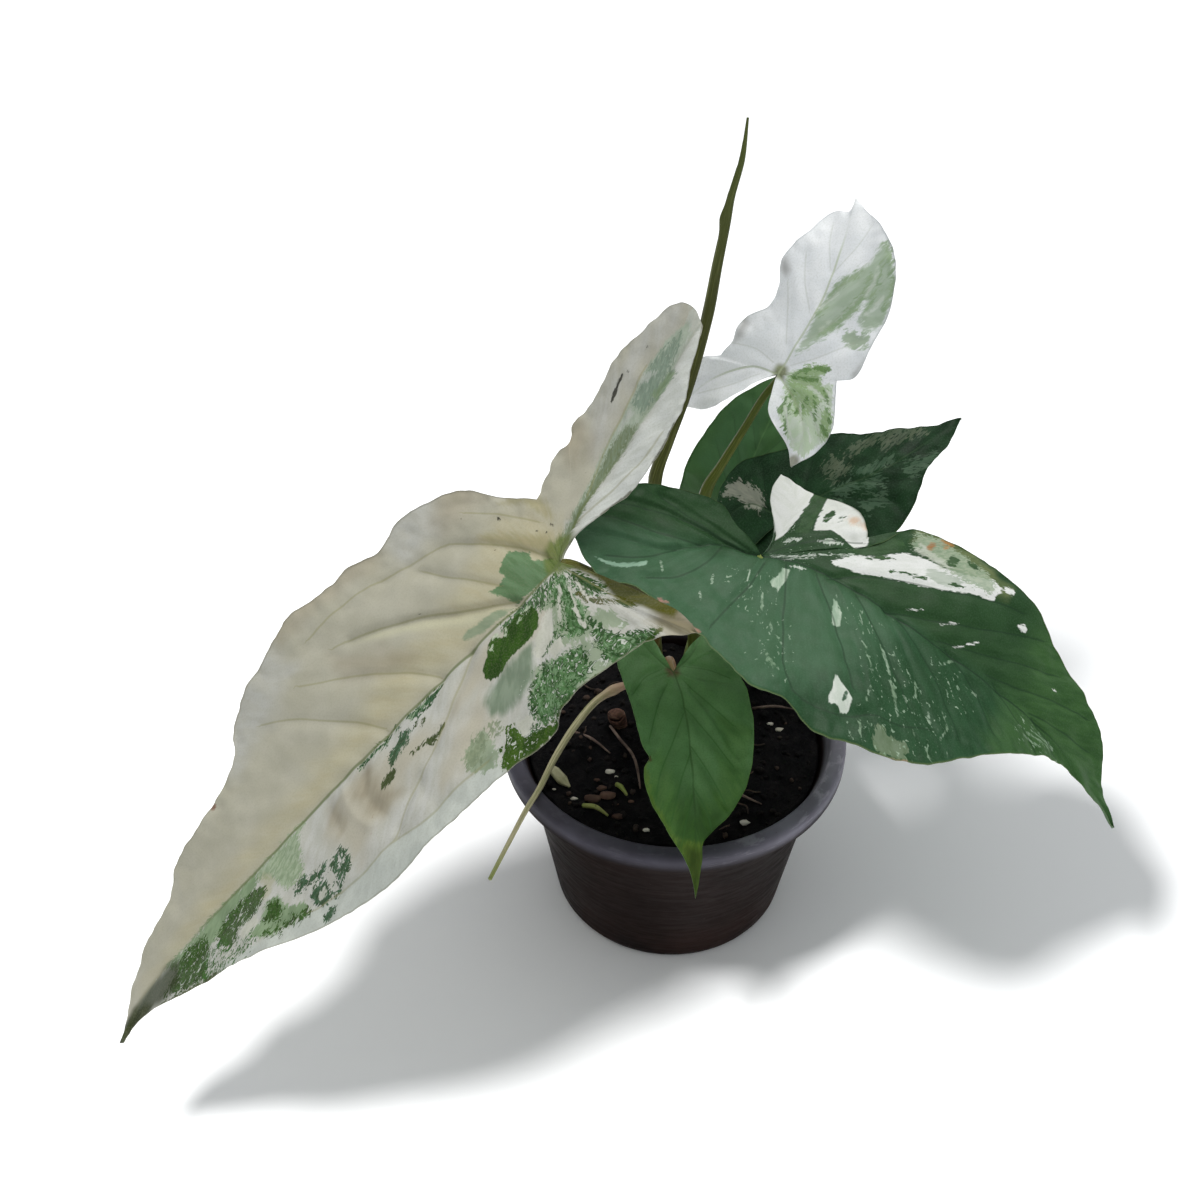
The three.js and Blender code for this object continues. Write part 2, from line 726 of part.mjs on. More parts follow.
add("leaf_front_left", blade(frontLeft), CREAM_LEAF);
add("leaf_upper_right", blade(upperRight), WHITE_LEAF);
add("leaf_right", blade(right), DARK_LEAF);
add("leaf_small_front", blade(smallFront), MID_LEAF);
add("leaf_back_right", blade(backRight), DARK_LEAF);
add("leaf_back", blade(back), DARK_LEAF);

for (const [name, route] of Object.entries(STALKS)) {
  add(`stalk_${name}`, sweptStem(route), STALK);
}
add("new_leaf", sweptStem(NEW_LEAF), STALK);
add("dried_stalk", sweptStem(DRIED_STALK), DRY_STALK);

export default plant;
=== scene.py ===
"""Variegated arrowhead plant in a black nursery pot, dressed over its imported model.

Sizes are millimetres, +Z up, with the origin at the centre of the pot's underside.
new_mesh() turns them into metres. Each leaf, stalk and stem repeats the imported
model's outline with a finer mesh, and adds veins, quilting and markings.
"""
import math
import random

import bpy
import numpy as np
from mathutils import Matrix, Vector, noise


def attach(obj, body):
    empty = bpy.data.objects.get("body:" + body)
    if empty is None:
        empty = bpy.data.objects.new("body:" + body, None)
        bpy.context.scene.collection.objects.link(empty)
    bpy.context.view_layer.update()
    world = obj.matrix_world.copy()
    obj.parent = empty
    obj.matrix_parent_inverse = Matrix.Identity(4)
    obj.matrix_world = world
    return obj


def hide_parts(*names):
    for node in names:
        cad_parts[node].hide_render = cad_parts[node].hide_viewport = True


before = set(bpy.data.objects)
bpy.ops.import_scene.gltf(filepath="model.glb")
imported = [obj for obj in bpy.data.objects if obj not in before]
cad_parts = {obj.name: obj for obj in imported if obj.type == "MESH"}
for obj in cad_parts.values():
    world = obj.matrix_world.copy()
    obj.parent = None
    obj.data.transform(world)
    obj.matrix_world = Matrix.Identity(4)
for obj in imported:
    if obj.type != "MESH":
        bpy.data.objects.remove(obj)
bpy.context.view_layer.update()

MM = 0.001
chance = random.Random(7)


# ------------------------------------------------------------------------- curves

CURVE_SAMPLES = 800


def spline(points, places):
    """Points of a centripetal Catmull-Rom curve; places run 0 to 1, even by span."""
    p = np.array(points, float)
    p = np.vstack([2 * p[0] - p[1], p, 2 * p[-1] - p[-2]])
    spans = len(p) - 3
    at = np.clip(np.asarray(places, float), 0, 1) * spans
    span = np.minimum(at.astype(int), spans - 1)
    t = (at - span)[:, None]
    a, b, c, d = (p[span + k] for k in range(4))
    ab = np.sqrt(np.linalg.norm(b - a, axis=1, keepdims=True))
    bc = np.sqrt(np.linalg.norm(c - b, axis=1, keepdims=True))
    cd = np.sqrt(np.linalg.norm(d - c, axis=1, keepdims=True))
    out_of_b = (b - a) / ab * bc - (c - a) / (ab + bc) * bc + (c - b)
    into_c = (c - b) - (d - b) / (bc + cd) * bc + (d - c) / cd * bc
    square = 3 * (c - b) - 2 * out_of_b - into_c
    cube = 2 * (b - c) + out_of_b + into_c
    return b + t * (out_of_b + t * (square + t * cube))


def evenly(points, fractions):
    """Points at fractions of a curve's length, and that length."""
    fine = spline(points, np.linspace(0, 1, CURVE_SAMPLES))
    run = np.concatenate([[0], np.cumsum(np.linalg.norm(np.diff(fine, axis=0), axis=1))])
    wanted = np.asarray(fractions) * run[-1]
    places = [np.interp(wanted, run, fine[:, k]) for k in range(fine.shape[1])]
    return np.stack(places, axis=1), run[-1]


def path_distance(path, xy):
    """Distance of each point from a path, and the side of it that the point is on."""
    path = np.array(path, float)
    nearest = np.full(len(xy), np.inf)
    side = np.ones(len(xy))
    for a, b in zip(path[:-1], path[1:]):
        d = b - a
        off = xy - a
        t = np.clip(off @ d / (d @ d), 0, 1)
        away = np.linalg.norm(off - t[:, None] * d, axis=1)
        nearer = away < nearest
        nearest[nearer] = away[nearer]
        side[nearer] = np.where(d[0] * off[nearer, 1] < d[1] * off[nearer, 0], -1, 1)
    return nearest, side


def shape_depth(shape, xy):
    """How far each point is inside a mark's shape, and negative outside it."""
    width, points = shape
    if len(points) == 1:
        return width - np.linalg.norm(xy - np.array(points[0], float), axis=1)
    if width:
        return width - path_distance(points, xy)[0]
    ring = list(points) + [points[0]]
    within = np.zeros(len(xy), bool)
    for (ax, ay), (bx, by) in zip(ring[:-1], ring[1:]):
        if ay != by:
            crosses = (ay > xy[:, 1]) != (by > xy[:, 1])
            within ^= crosses & (xy[:, 0] < ax + (xy[:, 1] - ay) * (bx - ax) / (by - ay))
    away = path_distance(ring, xy)[0]
    return np.where(within, away, -away)


def area(*points):
    """A mark's shape: the inside of an outline."""
    return 0, points


def stroke(width, *points):
    """A mark's shape: a line of that half width, or a spot where it has one point."""
    return width, points


# ---------------------------------------------------------------- pieces and bodies

def new_object(name, data):
    """An object with that data, linked to the scene."""
    made = bpy.data.objects.new(name, data)
    bpy.context.scene.collection.objects.link(made)
    return made


def new_mesh(name, points, faces):
    """A mesh from points in millimetres."""
    mesh = bpy.data.meshes.new(name)
    mesh.from_pydata((np.asarray(points, float) * MM).tolist(), [], faces)
    return mesh


def make_piece(name, points, faces, material, slot, replaced=()):
    """A smooth mesh object on the plant's one body, from points in millimetres."""
    mesh = new_mesh(name, points, faces)
    mesh.polygons.foreach_set("use_smooth", [True] * len(mesh.polygons))
    mesh.materials.append(material)
    mesh.update()
    piece = new_object(name, mesh)
    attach(piece, "root")
    if replaced:
        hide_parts(*replaced)
    return piece


def add_attribute(piece, name, values, domain="POINT"):
    """Stores numbers or vectors on a piece for its material to read."""
    values = np.asarray(values, float)
    kind, key = ("FLOAT", "value") if values.ndim == 1 else ("FLOAT_VECTOR", "vector")
    layer = piece.data.attributes.new(name, kind, domain)
    layer.data.foreach_set(key, values.ravel())


def ring_points(radius, sides):
    """The (x, y) points of a ring about the origin."""
    angles = [2 * math.pi * k / sides for k in range(sides)]
    return [(radius * math.cos(angle), radius * math.sin(angle)) for angle in angles]


def band(start, sides):
    """Faces between the ring of points that begins at start and the ring after it."""
    pairs = [(start + k, start + (k + 1) % sides) for k in range(sides)]
    return [[a, b, b + sides, a + sides] for a, b in pairs]


def cap(start, sides, reverse=False):
    """One face that closes a ring of points."""
    face = [start + k for k in range(sides)]
    return face[::-1] if reverse else face


# --------------------------------------------------------------------- node shaders

def colour(code):
    """A '#rrggbb' colour as Blender's linear RGBA."""
    parts = [int(code[k:k + 2], 16) / 255 for k in (1, 3, 5)]
    return [((c + 0.055) / 1.055) ** 2.4 if c > 0.04045 else c / 12.92 for c in parts] + [1]


class Shader:
    """A material under construction: short calls that add nodes and link them."""

    def __init__(self, name, roughness=0.5, specular=0.5):
        self.material = bpy.data.materials.new(name)
        self.material.use_nodes = True
        self.tree = self.material.node_tree
        self.surface = self.tree.nodes["Principled BSDF"]
        self.surface.inputs["Roughness"].default_value = roughness
        self.surface.inputs["Specular IOR Level"].default_value = specular

    def node(self, kind, settings=(), inputs=()):
        made = self.tree.nodes.new("ShaderNode" + kind)
        for key, value in dict(settings).items():
            setattr(made, key, value)
        for key, value in dict(inputs).items():
            self.feed(made.inputs[key], value)
        return made

    def feed(self, socket, value):
        if isinstance(value, bpy.types.NodeSocket):
            self.tree.links.new(value, socket)
        elif isinstance(value, str):
            socket.default_value = colour(value)
        else:
            socket.default_value = value

    def attribute(self, name, scalar=False):
        made = self.node("Attribute", {"attribute_name": name})
        return made.outputs["Fac" if scalar else "Vector"]

    def split(self, vector):
        made = self.node("SeparateXYZ", inputs={0: vector})
        return made.outputs[0], made.outputs[1], made.outputs[2]

    def place(self):
        """The point's own place on the piece, in metres."""
        return self.node("TexCoord").outputs["Object"]

    def scaled(self, vector, scales):
        made = self.node("VectorMath", {"operation": "MULTIPLY"}, {0: vector, 1: scales})
        return made.outputs[0]

    def math(self, operation, a, b=0.0, clamp=False):
        made = self.node("Math", {"operation": operation, "use_clamp": clamp}, {0: a, 1: b})
        return made.outputs[0]

    def noise(self, vector, scale=1.0, detail=2.0, rough=0.5, swirl=0.0):
        inputs = {"Vector": vector, "Scale": scale, "Detail": detail, "Roughness": rough,
                  "Distortion": swirl}
        return self.node("TexNoise", inputs=inputs).outputs["Fac"]

    def ramp(self, value, low, high, start=0.0, end=1.0):
        """A soft step from start, below low, to end, above high."""
        settings = {"interpolation_type": "SMOOTHSTEP"}
        inputs = {0: value, 1: low, 2: high, 3: start, 4: end}
        return self.node("MapRange", settings, inputs).outputs[0]

    def mix(self, share, a, b):
        made = self.node("Mix", {"data_type": "RGBA"}, {0: share, 6: a, 7: b})
        return made.outputs[2]

    def bump(self, height, strength, depth_mm, over=None):
        inputs = {"Height": height, "Strength": strength, "Distance": depth_mm * MM}
        if over is not None:
            inputs["Normal"] = over
        return self.node("Bump", inputs=inputs).outputs[0]

    def finish(self, base, roughness=None, normal=None):
        self.feed(self.surface.inputs["Base Color"], base)
        if roughness is not None:
            self.feed(self.surface.inputs["Roughness"], roughness)
        if normal is not None:
            self.feed(self.surface.inputs["Normal"], normal)
        return self.material


# ---------------------------------------------------------------- leaf blades: form
#
# A blade is laid out flat first, as (along, across) points from its junction with the
# stalk. Rows run from each lobe's rib out to its margins, in step with the veins.
#
# What the settings of a leaf mean, apart from its junction and tip:
#   roll           degrees that it is turned about the line from junction to tip
#   arch, fold     how high it rises along its middle, and how steeply beside its ribs
#   lift           a far stretch of it that curves up
#   lobes          each has a rib, a left and a right margin, and waves along them; over
#                  raises its margins, and a plain lobe shows no rib
#   folds          creases, each with a depth, a width and a path
#   quilt          how far it sinks along its side veins
#   groove, ridge  how far the rib sinks into its upper face and stands out of its underside
#   ruffle, crumple, uneven
#                  how high its long and its short wrinkles are, and how ragged its margin
#   ..._tone, ..._width, ..._show
#                  the colour, half width and strength of its lines, skin, rim and underside; the rim's
#                  colour is painted edge shade on the front left and upper right leaves, and painted
#                  edge light on the right leaf

RIB_LEAN = 1.7  # rib stations crowd towards the junction
COLUMN_LEAN = 1.35  # columns crowd towards the rib
WAVE_HEIGHT = 1.1
FOLD_ROUNDING = 1.5
ARCH_FADE = 60
BLADE_THICKNESS = 0.55
MARGIN_THICKNESS = 0.25
MARGIN_STEPS = 0.2  # per millimetre of margin
GROOVE_WIDTH = 1.1
RIDGE_WIDTH = 1.5
RIB_FADE_LEAST = 0.15  # how much of the groove and ridge is left at the tip
VEIN_RIDGE_HEIGHT = 0.25
VEIN_RIDGE_WIDTH = 0.8
SHARP_SIDE = 0.4  # how much narrower a crease is on its steep side
RUFFLE_STEPS = (0.045, 0.07)  # noise steps per millimetre, along and across the blade
DENT_STEPS = (0.13, 0.16)
CRIMP_STEPS = (0.32, 0.36)
RIB_SAMPLES = 60
VEIN_SAMPLES = 24
FARTHEST_VEIN = 99.0
DEEPEST_MARK = 30


def unit(vector):
    return np.asarray(vector, float) / np.linalg.norm(vector)


def blade_axes(leaf):
    """Junction, and the directions along, across and out of the blade's upper face."""
    junction, tip = np.array(leaf["junction"], float), np.array(leaf["tip"], float)
    length = np.linalg.norm(tip - junction)
    along = (tip - junction) / length
    up = np.array([0.0, 0.0, 1.0])
    out = unit(up - along * (up @ along))
    across = np.cross(out, along)
    turn = math.radians(leaf["roll"])
    across, out = (
        across * math.cos(turn) + out * math.sin(turn),
        out * math.cos(turn) - across * math.sin(turn),
    )
    return junction, along, across, out, length


def blade_form(leaf, length, xy):
    """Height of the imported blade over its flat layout, without the margin's waves."""
    x = xy[:, 0]
    t = np.clip(x / length, 0, 1)
    height = 4 * leaf["arch"] * t * (1 - t)
    behind = np.minimum(x, 0)
    height += 4 * leaf["arch"] * behind * np.exp(behind / ARCH_FADE) / length
    # a smooth stand-in for the distance from the nearest rib
    near = sum((path_distance(lobe["rib"], xy)[0] + 0.5) ** -3.0 for lobe in leaf["lobes"])
    height += leaf["fold"] * (np.hypot(near ** (-1 / 3), FOLD_ROUNDING) - FOLD_ROUNDING)
    if "lift" in leaf:
        angle = math.radians(leaf["lift"]["towards"])
        reach = x * math.cos(angle) + xy[:, 1] * math.sin(angle) - leaf["lift"]["from"]
        height += leaf["lift"]["height"] * (np.maximum(reach, 0) / leaf["lift"]["over"]) ** 2
    return height


def uneven(outer, inner, length, amount, seed):
    """A margin pushed in and out of its line by small uneven steps."""
    shares = np.linspace(0, 1, len(outer))
    steps = [noise.noise(Vector((share * length * MARGIN_STEPS, seed, 3.0))) for share in shares]
    push = amount * np.array(steps) * np.sqrt(np.abs(np.sin(np.pi * shares)))
    away = outer - inner
    away /= np.maximum(np.linalg.norm(away, axis=1), 0.5)[:, None]
    return outer + push[:, None] * away


def wrinkles(xy, steps, seed):
    """Noise at each point, with those steps per millimetre along and across."""
    along, across = steps
    return np.array([noise.noise(Vector((x * along, y * across, seed))) for x, y in xy])


def blade_halves(leaf):
    """The flat grid of each half lobe, with its waves and its streak coordinates."""
    halves = []
    columns = leaf["columns"]
    c = (np.arange(columns + 1) / columns) ** COLUMN_LEAN
    for number, lobe in enumerate(leaf["lobes"]):
        for margin, turn in ((lobe["left"], 1), (lobe["right"], -1)):
            f = np.linspace(0, 1, lobe["rows"] + 1)
            inner, rib_length = evenly(lobe["rib"], f ** RIB_LEAN)
            outer, margin_length = evenly(margin, f)
            outer = uneven(outer, inner, margin_length, leaf["uneven"], number + 0.4 * turn)
            flat = inner[:, None] * (1 - c[:, None]) + outer[:, None] * c[:, None]
            bulge = np.sin(np.pi * f)
            swing = np.sin(2 * np.pi * lobe["waves"] * f) * bulge
            swing = leaf.get("wave_height", WAVE_HEIGHT) * swing + lobe.get("over", 0) * bulge
            wave = swing[:, None] * c ** 2
            step = 0.5 * (rib_length * f ** RIB_LEAN + margin_length * f)
            span = np.linalg.norm(outer - inner, axis=1)
            p = np.repeat(step[:, None], columns + 1, axis=1)
            q = turn * span[:, None] * c
            seed = np.full_like(p, 31.0 * number + 7.0 * (turn > 0))  # a grain of its own
            halves.append((flat, wave, np.stack([p, q, seed], axis=2), c, turn))
    return halves


def leaf_piece(name, node, leaf, slot):
    """A leaf blade with real thickness, a groove and ridge for its rib, and veins."""
    junction, along, across, out, length = blade_axes(leaf)
    flats, waves, streaks, shares, edges, quads = [], [], [], [], [], []
    count = 0
    for flat, wave, streak, c, turn in blade_halves(leaf):
        rows, columns = flat.shape[:2]
        number = np.arange(rows * columns).reshape(rows, columns) + count
        corners = [number[:-1, :-1], number[1:, :-1], number[1:, 1:], number[:-1, 1:]]
        block = np.stack(corners, axis=2).reshape(-1, 4)
        quads.append(block if turn > 0 else block[:, ::-1])
        edge = number[:, -1]
        rim = np.stack([edge[:-1], edge[1:]], axis=1)
        edges.append(rim if turn > 0 else rim[:, ::-1])
        flats.append(flat.reshape(-1, 2))
        waves.append(np.broadcast_to(wave, (rows, columns)).ravel())
        streaks.append(streak.reshape(-1, 3))
        shares.append(np.tile(c, rows))
        count += rows * columns
    xy, wave, share = np.vstack(flats), np.concatenate(waves), np.concatenate(shares)
    streak, quads, rims = np.vstack(streaks), np.vstack(quads), np.vstack(edges)

    drawn = [lobe["rib"] for lobe in leaf["lobes"] if not lobe.get("plain")]
    ribs = [evenly(rib, np.linspace(0, 1, RIB_SAMPLES))[0] for rib in drawn]
    from_rib = np.min([path_distance(rib, xy)[0] for rib in ribs], axis=0)
    from_vein, side = np.full(len(xy), FARTHEST_VEIN), np.ones(len(xy))
    samples = np.linspace(0, 1, VEIN_SAMPLES)
    for vein in leaf["veins"]:
        away, turn = path_distance(spline(vein, samples), xy)
        nearer = away < from_vein
        from_vein[nearer], side[nearer] = away[nearer], turn[nearer]

    creases = np.zeros(len(xy))
    for depth, width, fold in leaf.get("folds", []):
        away, turn = path_distance(spline(fold, samples), xy)
        reach = np.where(turn > 0, width, width * SHARP_SIDE)
        creases += depth * np.exp(-(away / reach) ** 2)

    fade = np.clip(1 - np.maximum(xy[:, 0], 0) / length, RIB_FADE_LEAST, 1)
    quilt = leaf["quilt"] * np.exp(-(from_vein / leaf["quilt_width"]) ** 2)
    seed = leaf["seed"]
    ruffle = leaf["ruffle"] * wrinkles(xy, RUFFLE_STEPS, seed) * share ** 1.5
    ruffle += leaf["crumple"] * wrinkles(xy, DENT_STEPS, seed)
    ruffle += leaf["crumple"] * wrinkles(xy, CRIMP_STEPS, seed) * share ** 3
    groove = leaf["groove"] * fade * np.exp(-(from_rib / GROOVE_WIDTH) ** 2)
    top = blade_form(leaf, length, xy) + wave + ruffle - quilt - creases - groove
    thick = MARGIN_THICKNESS + (BLADE_THICKNESS - MARGIN_THICKNESS) * (1 - share ** 6)
    ridge = leaf["ridge"] * fade * np.exp(-(from_rib / RIDGE_WIDTH) ** 2)
    vein_ridge = VEIN_RIDGE_HEIGHT * np.exp(-(from_vein / VEIN_RIDGE_WIDTH) ** 2) * (1 - share)
    base = top + groove - thick - ridge - vein_ridge

    def placed(height):
        return (
            junction + np.outer(xy[:, 0], along) + np.outer(xy[:, 1], across)
            + np.outer(height, out)
        )

    points = np.vstack([placed(top), placed(base)])
    rim = np.stack([rims[:, 0], rims[:, 0] + count, rims[:, 1] + count, rims[:, 1]], axis=1)
    faces = np.vstack([quads, quads[:, ::-1] + count, rim])
    loops = np.vstack([streak, streak])[faces.ravel()]

    # points that fall together are joined, and faces that shrink to a line are left out
    _, first, where = np.unique(
        np.round(points, 3), axis=0, return_index=True, return_inverse=True
    )
    faces = where.ravel()[faces]
    corner = np.arange(faces.size).reshape(faces.shape)
    kept_faces, kept_corners = [], []
    for face, corners in zip(faces.tolist(), corner.tolist()):
        keep = [k for k in range(4) if face[k] != face[k - 1]]
        if len(keep) > 2:
            kept_faces.append([face[k] for k in keep])
            kept_corners += [corners[k] for k in keep]

    def both(values):
        """The values of the upper and the lower face, at the joined points."""
        return np.concatenate([values, values])[first]

    flat, under = both(xy), np.repeat([0.0, 1.0], count)[first]
    material = leaf_material(name, leaf)
    piece = make_piece(name, points[first], kept_faces, material, slot, [node])
    add_attribute(piece, "streak", loops[kept_corners], "CORNER")
    add_attribute(piece, "flat", np.column_stack([flat, under]))
    signed = both(from_vein * side)
    add_attribute(piece, "veins", np.column_stack([signed, both(from_vein), both(from_rib)]))
    add_attribute(piece, "margin", both(share))
    for number, layer in enumerate(leaf["marks"]):
        depth = np.max([shape_depth(shape, flat) for shape in layer["shapes"]], axis=0)
        depth = np.where(depth < 0, depth / layer["spread"], depth)
        add_attribute(piece, f"mark_{number}", np.clip(depth, -DEEPEST_MARK, DEEPEST_MARK))
    return piece


# ------------------------------------------------------------ leaf blades: markings

GRAINS = {  # noise steps per millimetre across and along the veins, detail and swirl
    "streaks": (0.75, 0.2, 3.0, 0.0),
    "broad": (0.28, 0.1, 3.0, 0.0),
    "flecks": (0.7, 0.42, 3.0, 0.5),
    "specks": (0.56, 0.44, 2.0, 1.6),
    "soft": (0.12, 0.08, 1.0, 0.0),
}
RIB_FADES = (-0.2, -0.05, 0.66, 0.84)  # along the blade: where its rib line comes and goes
VEIN_REACH = (1.5, 2.5)  # a vein's line fades out over these distances from the vein
RIM_START = 0.985
RIM_SHOW = 0.5
UNDER_SHOW = 0.55


def mark(tones, shapes, grain="streaks", jagged=9.0, spread=1.0, solid=9.0, opacity=1.0,
         blur=0.25):
    """One layer of variegation.

    tones: its two colours. grain and jagged: which noise breaks its edge, and by how
    many millimetres. A spread over 1 lets flecks further out of the shapes. A small
    solid lets holes into them, and one below zero leaves only scattered flecks inside
    them. blur: how soft the edge is, in millimetres.
    """
    return {
        "tones": tones, "shapes": shapes, "grain": grain, "jagged": jagged,
        "spread": spread, "solid": solid, "opacity": opacity, "blur": blur,
    }


def leaf_material(name, leaf):
    """The blade's colours, veins and sheen, laid over each other in layers."""
    s = Shader("finish_" + name, specular=leaf["gloss"])
    streak = s.attribute("streak")
    flat = s.attribute("flat")
    forward, _, under = s.split(flat)
    to_vein, vein_away, rib_away = s.split(s.attribute("veins"))
    edge = s.attribute("margin", scalar=True)
    grains = {}
    for grain, (across, along, detail, swirl) in GRAINS.items():
        steps = s.scaled(streak, (across, along, 1.0))
        grains[grain] = s.noise(steps, 1.0, detail, 0.6, swirl)
    skin = s.noise(s.scaled(flat, (1.0, 1.0, 9.0)), 0.09, 3.0, 0.55)

    base = s.mix(s.ramp(skin, 0.35, 0.65), *leaf["ground"])
    for number, layer in enumerate(leaf["marks"]):
        depth = s.attribute(f"mark_{number}", scalar=True)
        depth = s.math("MINIMUM", depth, layer["solid"])
        broken = s.math("MULTIPLY", s.math("SUBTRACT", grains[layer["grain"]], 0.5),
                        layer["jagged"])
        inside = s.math("ADD", depth, broken)
        share = s.ramp(inside, -layer["blur"], layer["blur"], 0.0, layer["opacity"])
        patches = grains["flecks" if layer["grain"] == "specks" else "broad"]
        tone = s.mix(s.ramp(patches, 0.38, 0.62), *layer["tones"])
        base = s.mix(share, base, tone)

    cells = s.noise(flat, 1.7, 3.0, 0.7)
    base = s.mix(s.ramp(cells, 0.42, 0.7, 0.0, leaf["skin_show"]), base, leaf["skin_tone"])
    near = s.ramp(vein_away, *VEIN_REACH, 1.0, 0.0)
    line = s.ramp(s.math("ABSOLUTE", to_vein), 0.1, leaf["vein_width"], 1.0, 0.0)
    line = s.math("MULTIPLY", s.math("MULTIPLY", line, near), leaf["vein_show"])
    base = s.mix(line, base, leaf["vein_tone"])
    rib = s.ramp(rib_away, 0.15, leaf["rib_width"], leaf["rib_show"], 0.0)
    far_back, back, ahead, far_ahead = (end * blade_axes(leaf)[4] for end in RIB_FADES)
    rib = s.math("MULTIPLY", rib, s.ramp(forward, far_back, back, 0.2, 1.0))
    rib = s.math("MULTIPLY", rib, s.ramp(forward, ahead, far_ahead, 1.0, 0.1))
    base = s.mix(rib, base, leaf["rib_tone"])
    # the rim line is painted edge shade on some leaves and painted edge light on others, by each
    # leaf's rim_tone
    rim = s.ramp(edge, RIM_START, 1.0, 0.0, RIM_SHOW)
    base = s.mix(rim, base, leaf["rim_tone"])
    base = s.mix(s.math("MULTIPLY", under, UNDER_SHOW), base, leaf["under_tone"])

    fine = s.math("ADD", s.math("MULTIPLY", grains["flecks"], 0.6), cells)
    normal = s.bump(fine, 0.4, 0.14)
    roughness = s.ramp(skin, 0.3, 0.7, leaf["rough"] - 0.05, leaf["rough"] + 0.07)
    return s.finish(base, roughness, normal)


# ---------------------------------------------------------- front left: the big leaf

